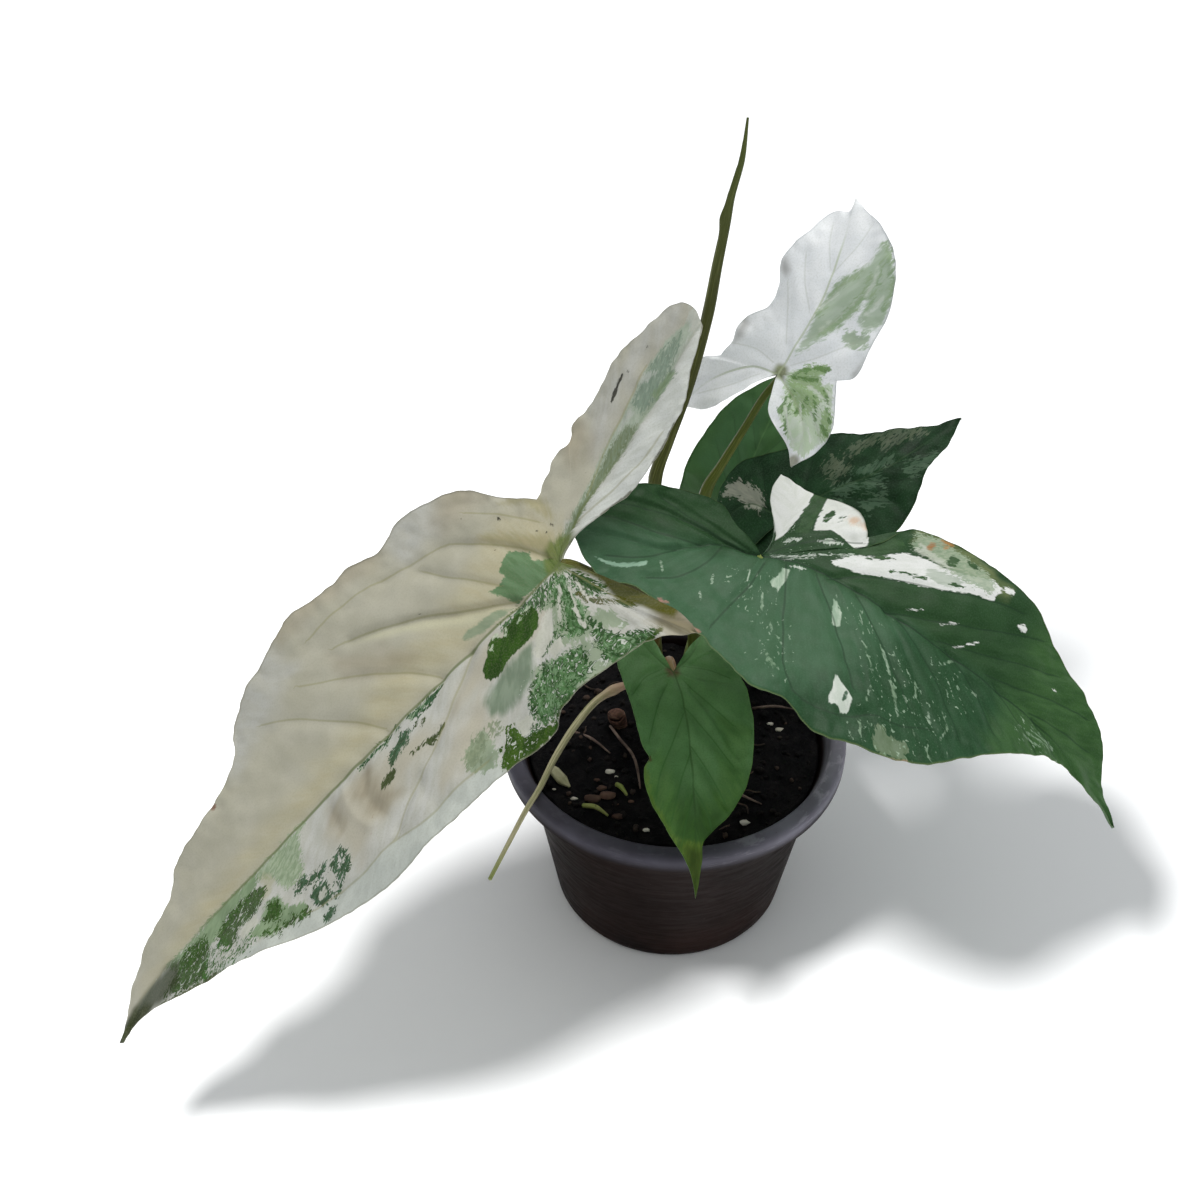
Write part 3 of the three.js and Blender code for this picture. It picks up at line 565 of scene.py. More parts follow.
FRONT_LEFT = {
    "junction": [-37, -35, 183], "tip": [-171, -128, 54], "roll": -14, "arch": 10,
    "fold": 0.1, "lift": {"towards": -165, "from": 20, "height": 6, "over": 70},
    "columns": 56,
    "lobes": [
        {
            "rib": [[0, 0], [8, 1.2], [20, 1.5], [51, 1.7], [90, 1.2], [126, 0.2], [167, -2.3],
                    [190, -2.9], [208, 0]],
            "left": [
                [-1, 39], [15, 37.5], [28.5, 38], [36, 41.5], [51.5, 39.4], [65, 38.6],
                [82, 39], [98, 38], [119, 32.8], [147.5, 20.5], [173.5, 9.5], [196.5, 1],
                [208, 0],
            ],
            "right": [
                [-8.5, -21], [0, -31.5], [4, -38.5], [9, -42.5], [16, -45.5], [26, -48],
                [38, -45.8], [46, -48.5], [60, -49.2], [72, -50.8], [80, -49], [90, -47],
                [105.5, -42.5], [112, -38], [116.5, -32], [137.5, -24], [154, -22.5],
                [163.5, -16.5], [188, -11], [208, 0],
            ],
            "rows": 190, "waves": 3,
        },
        {
            "rib": [[0, 0], [-12.5, -7], [-29, -10.8], [-42, -12.8], [-54, -15], [-68, -17.4],
                    [-82, -19.5]],
            "left": [
                [-8.5, -21], [-10.5, -21.8], [-13.9, -24.4], [-17.4, -24.9], [-20.3, -27.1],
                [-23.9, -27.8], [-26.7, -26.8], [-28.9, -27.6], [-31.7, -30.4], [-36, -31.2],
                [-44, -31.8], [-52.5, -33.4], [-60, -34], [-69, -32.5], [-77, -31.8],
                [-82.5, -29.5], [-84, -24], [-82, -19.5],
            ],
            "right": [
                [0, 0], [-4, -3], [-10.5, -4.5], [-15, -3.6], [-19, -2], [-23, -1.9],
                [-27, -0.6], [-36, -0.3], [-42, -1.4], [-47.5, -2.2], [-52, -3.8],
                [-58.5, -5], [-64, -8.4], [-70, -12.5], [-75, -14.6], [-82, -19.5],
            ],
            "rows": 110, "waves": 2,
        },
        {
            "rib": [[0, 0], [-1.5, 14], [-7, 30.5], [-14, 49]],
            "left": [[0, 0], [-4, 8], [-8.4, 20], [-12.3, 31], [-14.6, 40], [-14, 49]],
            "right": [[-1, 39], [-9, 44], [-14, 49]],
            "rows": 50, "waves": 1, "plain": True,
        },
    ],
    "folds": [
        (1.7, 2.6, [[18, -1], [25, -5.5], [33, -11.5], [42, -18.5], [52, -24.5], [62, -30]]),
        (0.8, 2.4, [[2, -5], [8, -16], [14, -24], [20, -30], [30, -34], [44, -37]]),
        (0.7, 3.0, [[50, 0], [56, -8], [63, -15], [72, -22]]),
        (0.6, 2.6, [[73, -1], [78, -9], [86, -18], [93, -26]]),
        (0.6, 2.6, [[18, -8], [23, -16], [28, -23], [32, -30]]),
        (0.9, 1.8, [[38, 2], [46, 6.5], [57, 12.5], [67, 17], [80, 22.5], [90, 28]]),
        (0.5, 1.6, [[55, 32.5], [70, 32], [80, 32.5], [91, 29.2], [105, 28.3], [118, 26]]),
        (0.9, 2.4, [[86, 3], [90, 11], [89, 20]]), (-0.7, 2.2, [[95, 3], [97, 12], [95, 20]]),
        (0.7, 2.2, [[101, 3], [103, 14]]), (0.6, 2.4, [[74, 19], [76, 27]]),
        (0.5, 2.0, [[-24, -11], [-36, -16], [-48, -20], [-62, -24]]),
        (0.4, 1.6, [[-22, -9], [-34, -6], [-44, -4]]), (0.4, 1.6, [[-34, -11], [-46, -8.5],
        [-58, -7.5]]), (0.5, 3.0, [[10, 8], [24, 20], [30, 30]]),
    ],
    "veins": [
        [[1, -3], [5, -12], [10, -19], [15, -25], [21, -31], [30, -34], [40, -36.5], [50, -39],
         [60, -40], [72, -40]],
        [[18, -1], [24, -5], [32, -11], [41, -18.5], [50, -23.5], [60, -29], [68, -32]],
        [[50, 0], [55, -7], [62, -14], [70, -21], [84, -31]],
        [[73, -1], [78, -9], [86, -18], [92, -25], [102, -33]],
        [[18, -8], [23, -16], [28, -23], [32, -30]],
        [[-4, -15], [3, -26], [10, -34]],
        [[38, 2], [45, 6], [57, 12.5], [66, 17], [80, 22.5], [90, 28.5]],
        [[55, 32.5], [70, 32], [80, 32.5], [91, 29.2], [105, 28.3], [116, 26.2], [126, 23.5]],
        [[-20, -10], [-32, -16], [-46, -20.2], [-62, -24.8]],
        [[-12, -6.2], [-26, -5.2], [-40, -4.6], [-50, -5.6]],
        [[0, 4], [-3, 16], [-6, 28]],
    ],
    "marks": [
        # the cream half: warmer by the midrib and junction, greyer and browner outwards
        mark(("#b8ae88", "#beb795"), [area(
            (-8, -4), (2, 0), (20, 1), (50, 0), (100, 0), (150, -1), (190, -4), (150, -7),
            (110, -7), (80, -9), (60, -14), (40, -14), (24, -17), (12, -22), (4, -25),
            (-6, -20))], "soft", 8, blur=6, opacity=0.6),
        # a painted highlight: the pale band on the bulge beside the first side vein
        mark(("#c4c2a6", "#bcbaa0"), [area(
            (22, -3), (32, -4), (42, -13), (54, -22), (64, -30), (52, -23.5), (40, -16.5),
            (30, -8))], "soft", 3, blur=2, opacity=0.7),
        mark(("#c3c4c0", "#babab3"), [area(
            (16, -37), (36, -36), (36, -50), (14, -50)), area(
            (82, -36), (118, -27), (116, -44), (84, -50)), area(
            (-30, -16), (-60, -26), (-84, -24), (-80, -34), (-40, -33))],
            "soft", 10, blur=5, opacity=0.65),
        mark(("#9f957f", "#a89d88"), [area(
            (36, -43), (56, -45), (80, -46), (80, -56), (36, -52)), area(
            (2, -34), (18, -34), (20, -40), (8, -46), (2, -40)), area(
            (-24, -20), (-34, -22), (-36, -32), (-24, -30)), area(
            (50, -10), (62, -14), (72, -22), (70, -30), (56, -20))],
            "soft", 8, blur=4, opacity=0.5),
        mark(("#a79c72", "#98905f"), [area(
            (-1, -3), (4, -10), (8, -17), (14, -25), (10, -24), (2, -15), (-4, -9)), area(
            (-8, -12), (-5, -22), (0, -28), (-4, -28), (-10, -20))],
            "streaks", 5, blur=2, opacity=0.6),
        # the white half; the paler bluish band outside its marginal vein and the lighter upper half of
        # the back lobe are painted light
        mark(("#c4c4bd", "#bcbcb2"), [area(
            (-10, -9), (0, 0), (8, 1.2), (20, 1.5), (51, 1.7), (90, 1.2), (126, 0.2),
            (167, -2.3), (190, -2.9), (209, -0.5), (209, 30), (120, 45), (-20, 60),
            (-30, 20), (-10, -1), (-30, 6), (-84, 2), (-86, -20), (-68, -17.4),
            (-54, -15), (-42, -12.8), (-29, -10.8), (-12.5, -7))], "soft", 1.2, blur=0.8),
        # painted light: the paler bluish band where the margin turns up
        mark(("#c3c8c0", "#bbc0b8"), [area(
            (54, 33), (70, 32.2), (80, 32.6), (91, 29.4), (105, 28.4), (116, 26.4), (126, 23.6),
            (138, 20.5), (150, 17), (160, 13), (160, 20), (120, 45), (52, 45))],
            "soft", 1.5, blur=0.8, opacity=0.95),
        # painted light: the upper half of the back lobe made lighter, for the light that falls on it
        mark(("#dcdfda", "#d1d5ce"), [area(
            (-12, -5.6), (-24, -8.4), (-42, -11.6), (-60, -14.4), (-76, -18), (-86, -20),
            (-84, -6), (-60, 0), (-40, 2), (-22, 0), (-12, -2))], "soft", 3, blur=2.5,
            opacity=0.75),
        mark(("#b3a98d", "#b9b098"), [area(
            (11, 9), (18, 13), (30, 14), (42, 14), (56, 12.5), (40, 4), (28, 4)), area(
            (44, 14), (60, 20), (70, 28), (56, 30), (46, 24)), area(
            (56, 12), (70, 16), (90, 22), (104, 24), (108, 10), (90, 4), (70, 8))],
            "soft", 8, blur=4, opacity=0.55),
        mark(("#857a62", "#968c76"), [area(
            (84, 3), (88, 4), (93, 8), (93, 16), (90, 21), (86, 19), (80, 19), (84, 14)),
            area((98, 3), (103, 4), (104, 14), (99, 14))], "soft", 6, blur=3, opacity=0.6),
        mark(("#5c5748", "#6d6656"), [area((86, 23), (90, 17), (98, 17), (99, 22))],
             "specks", 14, 1, -3.6, 0.9, 0.2),
        # grey-green veils under the dark green
        mark(("#7f9079", "#6c8068"), [area(
            (23, 15), (26, 20), (29, 24), (34, 25.5), (41, 25.5), (46, 22.5), (44.5, 18.5),
            (40, 15.5), (32, 14.2), (26, 14))], "broad", 4, 1, 9, 0.9, 1.6),
        mark(("#7d9170", "#8fa083"), [area(
            (2, 3), (4, 12), (4, 20), (7, 27), (13, 25), (19, 20.5), (12, 11), (14, 8)), area(
            (7, 30), (10, 27), (14, 26), (19, 24.5), (22, 23), (26, 22), (32, 26), (36, 31),
            (36, 36), (33, 38.5), (26, 38.3), (20, 37.4), (8, 39), (6, 34)), area(
            (-1.5, 31), (2, 30), (5.5, 25), (4, 22), (1, 21), (-1, 25)), area(
            (50, 24), (54, 24), (60, 27), (61, 32), (55, 36), (51, 34))],
            "flecks", 6, 1, 9, 0.8, 0.5),
        mark(("#5c7f55", "#6f9068"), [area(
            (12, 27), (13.5, 31), (15, 35.5), (26, 38), (33, 37.5), (36, 34), (34.5, 30),
            (31, 25.5), (27, 23), (21, 23.5), (15, 25.5)), area(
            (2, 3), (3.5, 10), (4, 18), (9, 24), (14, 22), (8, 12), (9, 6)), area(
            (-7, 39.5), (0, 39.8), (9, 39), (10, 34), (8, 28), (5.5, 23), (4.6, 27), (2.5, 31.5),
            (-1, 34.5), (-5, 37.5))],
            "specks", 6, 1.2, 1.8, 0.9, 0.3),
        # the dark green
        mark(("#21461a", "#4e7646"), [area(
            (-7, 39), (0, 40), (8, 39), (10, 35), (9, 31), (7, 27), (5.5, 22.5), (4.6, 27),
            (3, 31), (0, 34), (-3, 36)), area(
            (12, 27), (14, 33), (20, 37), (28, 38), (34, 37.6), (40, 39), (43, 37), (39.5, 34),
            (36, 31.5), (33, 28), (28, 23.5), (20, 24.5)), area(
            (3, 5), (5, 12), (6, 22), (9, 24), (13, 22), (9, 14), (10, 8)),
            area((2, 1.9), (8, 2.2), (25, 2.2), (26, 5), (20, 5.5), (14, 8), (8, 6), (4, 5)),
            area((-5.4, 17), (-3, 11), (0, 4), (1.5, 6), (2.2, 12), (0, 16), (-3, 18)),
            area((8, 20), (17, 19.5), (21, 20.5), (22, 18.5), (14, 16), (9, 17))],
            "specks", 10, 1.2, 0.7, 0.95, 0.2),
        mark(("#1c4018", "#2d5428"), [stroke(0.5, (12.5, 27), (14, 32), (16, 36)), stroke(
            0.5, (36, 34), (34.5, 30), (31, 25.5)), stroke(0.6, (-6, 38.6), (-1, 34.8), (3, 31.4),
            (5, 26), (5.6, 22.4)), stroke(0.5, (9.6, 36), (9, 30), (6.6, 25)), stroke(
            0.6, (13.5, 33.6), (14.4, 35.2), (16.6, 35.4)), stroke(0.9, (23.5, 22.6), (26, 24.5))],
            "specks", 7, 1.2, 0.9, 0.9, 0.2),
        mark(("#27440c", "#3f5f16"), [area(
            (31, 39), (38, 42), (45, 41.5), (53, 39.6), (53, 36), (50, 33.5), (47, 32), (45, 30),
            (43.5, 29), (42, 32), (43, 35), (39, 36.5))], "flecks", 6, 1.2, 2.2),
        mark(("#24440d", "#325514"), [area(
            (15, 7.5), (18, 12), (22, 13.2), (30, 13.2), (35, 14.6), (38.6, 14.2), (40, 11.5),
            (38.2, 8.6), (35, 7.2), (32.6, 5), (31, 3.8), (28.8, 4.6), (27.4, 6.6), (25.6, 3.4),
            (23, 4.8), (20.6, 3.4), (18, 5), (15.4, 4.2)), stroke(0.8, (-7, 39.8), (0, 39.8),
            (8, 38.9), (15, 38), (22, 37.9), (30, 38.2), (36, 41))], "flecks", 2.2, 1, 9),
        mark(("#a9b99b", "#c4cdb6"), [stroke(0.4, (28.2, 4.6), (30, 4)), stroke(
            0.35, (25.4, 4.6), (26.8, 6)), stroke(0.35, (16, 4.2), (18, 5)), stroke(
            0.3, (31.6, 6), (33, 6.6)), stroke(0.3, (20, 5.4), (22, 5.8))],
            "specks", 4, 1, 2, 0.85, 0.3),
        # the small lobe: green by its turned-over edge, which is olive, then brown
        mark(("#22420f", "#31552a"), [area(
            (-7.4, 29), (-5, 27), (-3.4, 24), (-3.6, 21.6), (-5.2, 23), (-6.6, 26)), area(
            (-4.4, 17), (-2, 17), (1, 12), (1, 5), (-1, 5), (-3, 11))], "specks", 5, 1, 1.8, 0.95),
        mark(("#3c4f16", "#565226"), [stroke(0.7, (-4, 23), (-1, 20), (2, 16), (2.6, 12.5)),
            stroke(0.4, (-7.6, 29), (-5.4, 24), (-4.2, 20))], "specks", 6, 1, 1.0, 0.9),
        mark(("#75663e", "#5f532a"), [area(
            (-16, 50), (-16, 34), (-9.6, 32), (-8.2, 38), (-9.6, 43), (-12, 49))],
            "soft", 2, blur=2.4, opacity=0.8),
        mark(("#424600", "#505000"), [area(
            (0, 0.4), (-6, 8), (-10, 20), (-13.5, 31), (-16, 38), (-12.2, 40), (-9.6, 35),
            (-8, 29.6), (-5.2, 25.4), (-4.4, 20), (-4.6, 15), (-3.4, 10), (-1.2, 4))],
            "soft", 1.5, blur=0.9, opacity=0.95),
        mark(("#8a9678", "#78866a"), [
            stroke(0.7, (46, 25), (45.5, 27), (47, 28), (48.3, 26.5), (47.5, 24.8)),
            area((50.5, 24.5), (53, 24), (57, 27), (60, 28), (61, 31), (56, 31), (52, 28))],
            "specks", 8, 1, 0.8, 0.85, 0.4),
        mark(("#5f8158", "#7d9a72"), [
            area((50, 2.4), (53, 4), (58, 4.8), (64.5, 4.6), (66, 2.3)), area(
            (68, 2.2), (75, 3.6), (80, 2.8), (87, 3), (87, 2))], "specks", 4, 1, 3, 0.8, 0.3),
        mark(("#2c3c0e", "#3a4c1c"), [
            area((61.4, 14.2), (64.6, 15.4), (67, 12.8), (64, 12.8)), stroke(
            0.35, (58, 12.6), (62, 14.6)), stroke(0.3, (66, 13.2), (71, 12.9)), area(
            (77.6, 12), (80, 14.2), (85, 14.2), (84.6, 12.4), (81, 11)), stroke(
            0.5, (61.4, 7), (63.4, 8.4)), stroke(0.4, (63.6, 6), (65.4, 6.8)), stroke(
            0.3, (50.6, 2.9), (54, 3.9), (58, 4.5), (62.6, 4.9)), stroke(
            0.35, (72, 2.2), (75, 2.8), (77, 3))], "specks", 3, 1, 2.4, 0.95, 0.2),
        mark(("#1f4320", "#376040"), [
            area((51, 2.6), (54, 4.1), (58, 4.8), (63, 5), (64.6, 3.6), (60, 3), (56, 2.6)),
            stroke(0.3, (53, 2.3), (58, 2.3), (65, 2.3)), stroke(0.3, (69, 2.2), (80, 2.1)),
            area((74, 2.4), (77, 3.6), (77.4, 2.4)), area((80.4, 2.2), (83, 3.2), (87, 2.5),
            (86, 2.1)),
            area((66, 6), (69, 8.6), (73, 9.4), (79, 11), (78, 9), (77, 7), (73.5, 6.6),
                 (70.4, 4.8), (67.6, 5.2)),
            stroke(1.2, (106.5, 18), (106.3, 21), (108.5, 22.7), (111, 22.5), (111.5, 20),
                   (109.5, 18.5)), stroke(0.6, (112.6, 23), (114, 25)),
            stroke(1.5, (117.5, 20.5), (119, 24), (122, 23.5), (122.5, 21), (120, 20.3)),
            stroke(1.1, (120, 28.5), (124, 28.8)), stroke(0.25, (115, 25.8), (122, 25)),
            stroke(1.1, (113.5, 16.8), (117, 17.5), (119.5, 16.5)),
            area((119.5, 16.5), (123, 17.3), (127, 15.5), (125, 13.8), (121, 13.4))],
            "specks", 6, 1, 1.2, 0.95, 0.2),
        # the tip
        mark(("#7f9671", "#a1b292"), [area(
            (110, 0.6), (115, 3), (117, 8), (120, 12), (124, 13.5), (128, 12.5), (129.5, 6),
            (134, 2), (136, 0.4))], "specks", 8, 1, 2.0, 0.85, 0.5),
        mark(("#a8a683", "#b3b294"), [area((129, 7), (133, 9.6), (136, 9.4), (133, 5), (134, 2),
            (130, 3))], "flecks", 4, 1, 3, 0.6, 0.8),
        mark(("#718b63", "#88a07a"), [area(
            (126, 23), (133, 21.8), (139, 20), (144, 17.5), (146, 14.5), (140, 13),
            (135, 11), (130, 12), (132, 15), (129, 18), (126, 20)), area(
            (133, 0), (135, 3), (140, 4.5), (156, 5), (172, 3.5), (178, -3), (150, -1.6))],
            "flecks", 6, 1, 4, 0.9, 0.5),
        mark(("#234006", "#375c1e"), [
            area((131.5, 12), (136, 12.3), (140, 14.5), (135, 18.5), (132, 15.5)),
            stroke(0.8, (127, 22.5), (133, 20.7), (138, 19.7), (141, 18.2)),
            area((133, 7), (136, 9.4), (141, 10.4), (148, 9.8), (150.5, 12.6), (154, 11.5),
                 (157, 8), (156, 4), (150, 2.6), (142, 2.8), (137, 3.4)),
            area((159, 1), (161, 6), (164, 8.5), (168, 10.5), (176, 8), (184, 3.5), (176, 1),
                 (168, -1.6))], "specks", 8, 1, 1.5, 0.95),
        mark(("#2c5a1c", "#3f6e2c"), [area((143, 12), (145, 17.5), (151, 17), (150, 12)),
            area((154, 7), (154, 13.5), (163, 13.5), (169, 10), (166, 6)), area(
            (150, 15), (160, 12), (168, 10), (168, 14), (158, 16.5))],
            "specks", 10, 1, -0.1, 0.95, 0.2),
        mark(("#3a4a1e", "#4a5a2a"), [stroke(0.7, (163, 13.4), (168, 11.8), (178, 8), (187, 4.3))],
             "flecks", 3, 1, 9, 0.9),
        mark(("#b9beb3", "#c8ccc2"), [
            area((173, 4.8), (176, 7.4), (179.5, 6), (177, 4.6)), area((140, 10.5), (149.5, 11.5),
            (148, 14.5), (140, 13.5)), area((140, 3.5), (150, 3.5), (150, 10), (140, 10)),
            area((13, 31), (17, 31), (17, 34.5), (13, 34)), area((14, 19.5), (20, 20), (20.5, 24),
            (15, 23.5)), area((36.5, 30), (43, 30), (43, 35), (37, 35)),
            area((8, 26), (34, 24), (34, 38), (12, 38)), area((160, 0), (182, -2), (176, 7),
            (162, 8)), area((-4, 33), (6, 28), (8, 36), (0, 39)), area((40, 30), (52, 33),
            (52, 38), (42, 38))], "specks", 11, 1, -1.35, 0.9, 0.3),
        mark(("#c9c9bd", "#bfc0b2"), [
            area((14.5, 19.5), (17, 23.5), (20.5, 23.5), (20.5, 20)),
            area((36.5, 30.5), (42, 30.5), (42.5, 34.5), (38, 35)),
            area((11, 9.5), (14, 10), (24, 17), (24, 20.5), (17, 18)),
            area((140, 10.4), (149, 11), (148, 14), (141, 13.5)),
            stroke(0.5, (3, 8), (7, 18), (8, 23)), stroke(0.45, (5, 6), (12, 15)),
            stroke(0.4, (0.5, 8), (1.5, 16)), stroke(0.9, (118.5, 22.3), (121, 22.3))],
            "flecks", 4, 1, 4, 0.95, 0.3),
        mark(("#2e3b1c", "#2b3519"), [area(
            (172, 0), (177, 4.4), (186, 4), (196, 2.5), (209, 1), (209, -2), (196, -3.4),
            (184, -3.4), (174, -2.6))], "soft", 3, 1, 9, 0.85, 1.6),
        mark(("#2a3312", "#38401c"), [area(
            (188, 2.4), (196, 2.2), (209, 1), (209, -2), (196, -3), (190, 0))],
            "soft", 3, 1, 9, 0.9, 1.5),
        # the stripe beside the back lobe's rib
        mark(("#9fac98", "#afbaa9"), [area(
            (0, -1), (-10, -6), (-22, -9.2), (-36, -11.6), (-50, -13.6), (-57, -14.2),
            (-66, -14.8), (-67, -16.8), (-78, -19), (-81, -22.6), (-72, -24.5), (-62, -24.2),
            (-55, -22.4), (-46, -20), (-32, -16.6), (-24, -13), (-14, -9), (-4, -5))],
            "flecks", 3, 1, 9, 0.95, 0.5),
        mark(("#68764f", "#77866b"), [area(
            (0, 0), (-10, -5.5), (-22, -9.2), (-36, -11.6), (-46, -13.6), (-44, -16.6),
            (-34, -16), (-26, -13.2), (-18, -10), (-10, -7.6), (-2, -5))],
            "specks", 6, 1, 3, 0.85, 0.9),
        mark(("#6b8070", "#7d9280"), [area(
            (-50, -15), (-60, -16.4), (-70, -19), (-76, -22), (-66, -24), (-58, -22.5),
            (-50, -20.5)), area((-56, -14.4), (-66, -15), (-66, -18), (-56, -18))],
            "specks", 7, 1, 1.2, 0.75, 0.9),
        mark(("#7b9065", "#8aa078"), [area((-56, -14.2), (-66, -14.8), (-65, -17), (-56, -16.6))],
             "flecks", 3, 1, 9, 0.6, 0.8),
        mark(("#b7bcb3", "#c3c6bd"), [
            area((-62.5, -20.2), (-59, -20), (-56.4, -22.4), (-59.4, -23.6)),
            stroke(0.5, (-66, -16.8), (-71, -18), (-76, -18.8)), area(
            (-40, -17.4), (-48, -17), (-49, -19.6), (-44, -19.4)),
            area((-77, -19.5), (-84, -18), (-84, -26), (-80, -23))],
            "flecks", 5, 1, 2, 0.75, 0.6),
        # by the junction: a grey-green patch, and the olive where the lobes meet
        mark(("#5e7c55", "#6b8a64"), [area(
            (0, 1), (1, -3), (4, -5), (5.5, -7), (4.5, -9.5), (7, -13), (9.5, -15),
            (13, -12.5), (15.5, -10.5), (14, -9), (16, -8), (21.5, -8.5), (20.5, -6),
            (19.5, -4), (18, 0), (10, 1))], "flecks", 2.4, 1, 9, 1.0, 0.3),
        mark(("#7d8f74", "#8d9b80"), [area(
            (20, 0.6), (24, -3), (31, -3.6), (34, -4.4), (37.5, -3.4), (36, -1.6), (30, 0.4))],
            "flecks", 2.4, 1, 9, 0.9, 0.5),
        mark(("#586a2a", "#6c7a3a"), [area(
            (-9, -4), (-4, -7), (1, -6), (3, -3), (5, 0), (3, 3), (-2, 4), (-4, 1))],
            "soft", 4, 1, 3, 0.85, 1.5),
        mark(("#8e8565", "#a39b80"), [area((-16, 52), (-10, 38), (-6, 34), (-8, 44))],
             "soft", 4, 1, 3, 0.7, 2),
        mark(("#0f100a", "#1a1b12"), [
            stroke(0.5, (-54.6, -28.3), (-52.4, -28), (-50.4, -27.2)), stroke(
            0.75, (-49.8, -26.9), (-48, -26.2)), stroke(0.4, (-47.6, -26), (-46.2, -25.2)),
            stroke(0.35, (-56.4, -27.4)), stroke(0.3, (-24.8, -16)), stroke(0.35, (-66, -28)),
            stroke(0.32, (-6.3, -10.5), (-6, -11.5)), stroke(0.35, (-3.4, -10.2)),
            stroke(0.35, (-1.8, -13)), stroke(0.35, (23.5, -5)), stroke(0.45, (41.5, -19.8)),
            stroke(0.4, (4, -24.5), (3.6, -25.2)), stroke(0.3, (11.5, -18)),
            stroke(0.3, (12, -33)), stroke(0.3, (96, 28.3))], "specks", 1.2, 1, 3, 0.9, 0.15),
        # dark lines along the back lobe's upper margin: its dark edge, with painted shade along it
        mark(("#3c3d2b", "#54533c"), [
            stroke(0.4, (-54, -4.2), (-47.5, -2.4), (-41, -1.2)),
            stroke(0.4, (-30, -0.4), (-24, -1.4), (-19, -2.1))], "flecks", 1.2, 1, 3, 0.8, 0.3),
        mark(("#8c3b30", "#7a4a38"), [
            stroke(1.1, (130.5, -25.5)), stroke(0.3, (92, 18)), stroke(0.3, (95, 22)),
            stroke(0.3, (97, 20))], "flecks", 1.5, 1, 3, 0.8, 0.4),
    ],
    "ground": ("#b9b6a5", "#b2af9d"), "vein_tone": "#8f8c5e", "vein_width": 0.5,
    "vein_show": 0.4,
    "rib_tone": "#69754a", "rib_width": 0.7, "rib_show": 0.8,
    # rim_tone is a dark grey line along the margins: painted shade at the edges
    "rim_tone": "#8b8775", "under_tone": "#c6c6b6", "rough": 0.5, "gloss": 0.12,
    "skin_tone": "#8f8c76", "skin_show": 0.2,
    "uneven": 0.45,
    "quilt": 0.35, "quilt_width": 3.0, "ruffle": 3.0, "groove": 0.55, "ridge": 1.4,
    "crumple": 0.9, "seed": 1.7,
}

leaf_piece("blade_front_left", "leaf_front_left", FRONT_LEFT, "cream_leaf")


# ------------------------------------------------------------ right: the green leaf

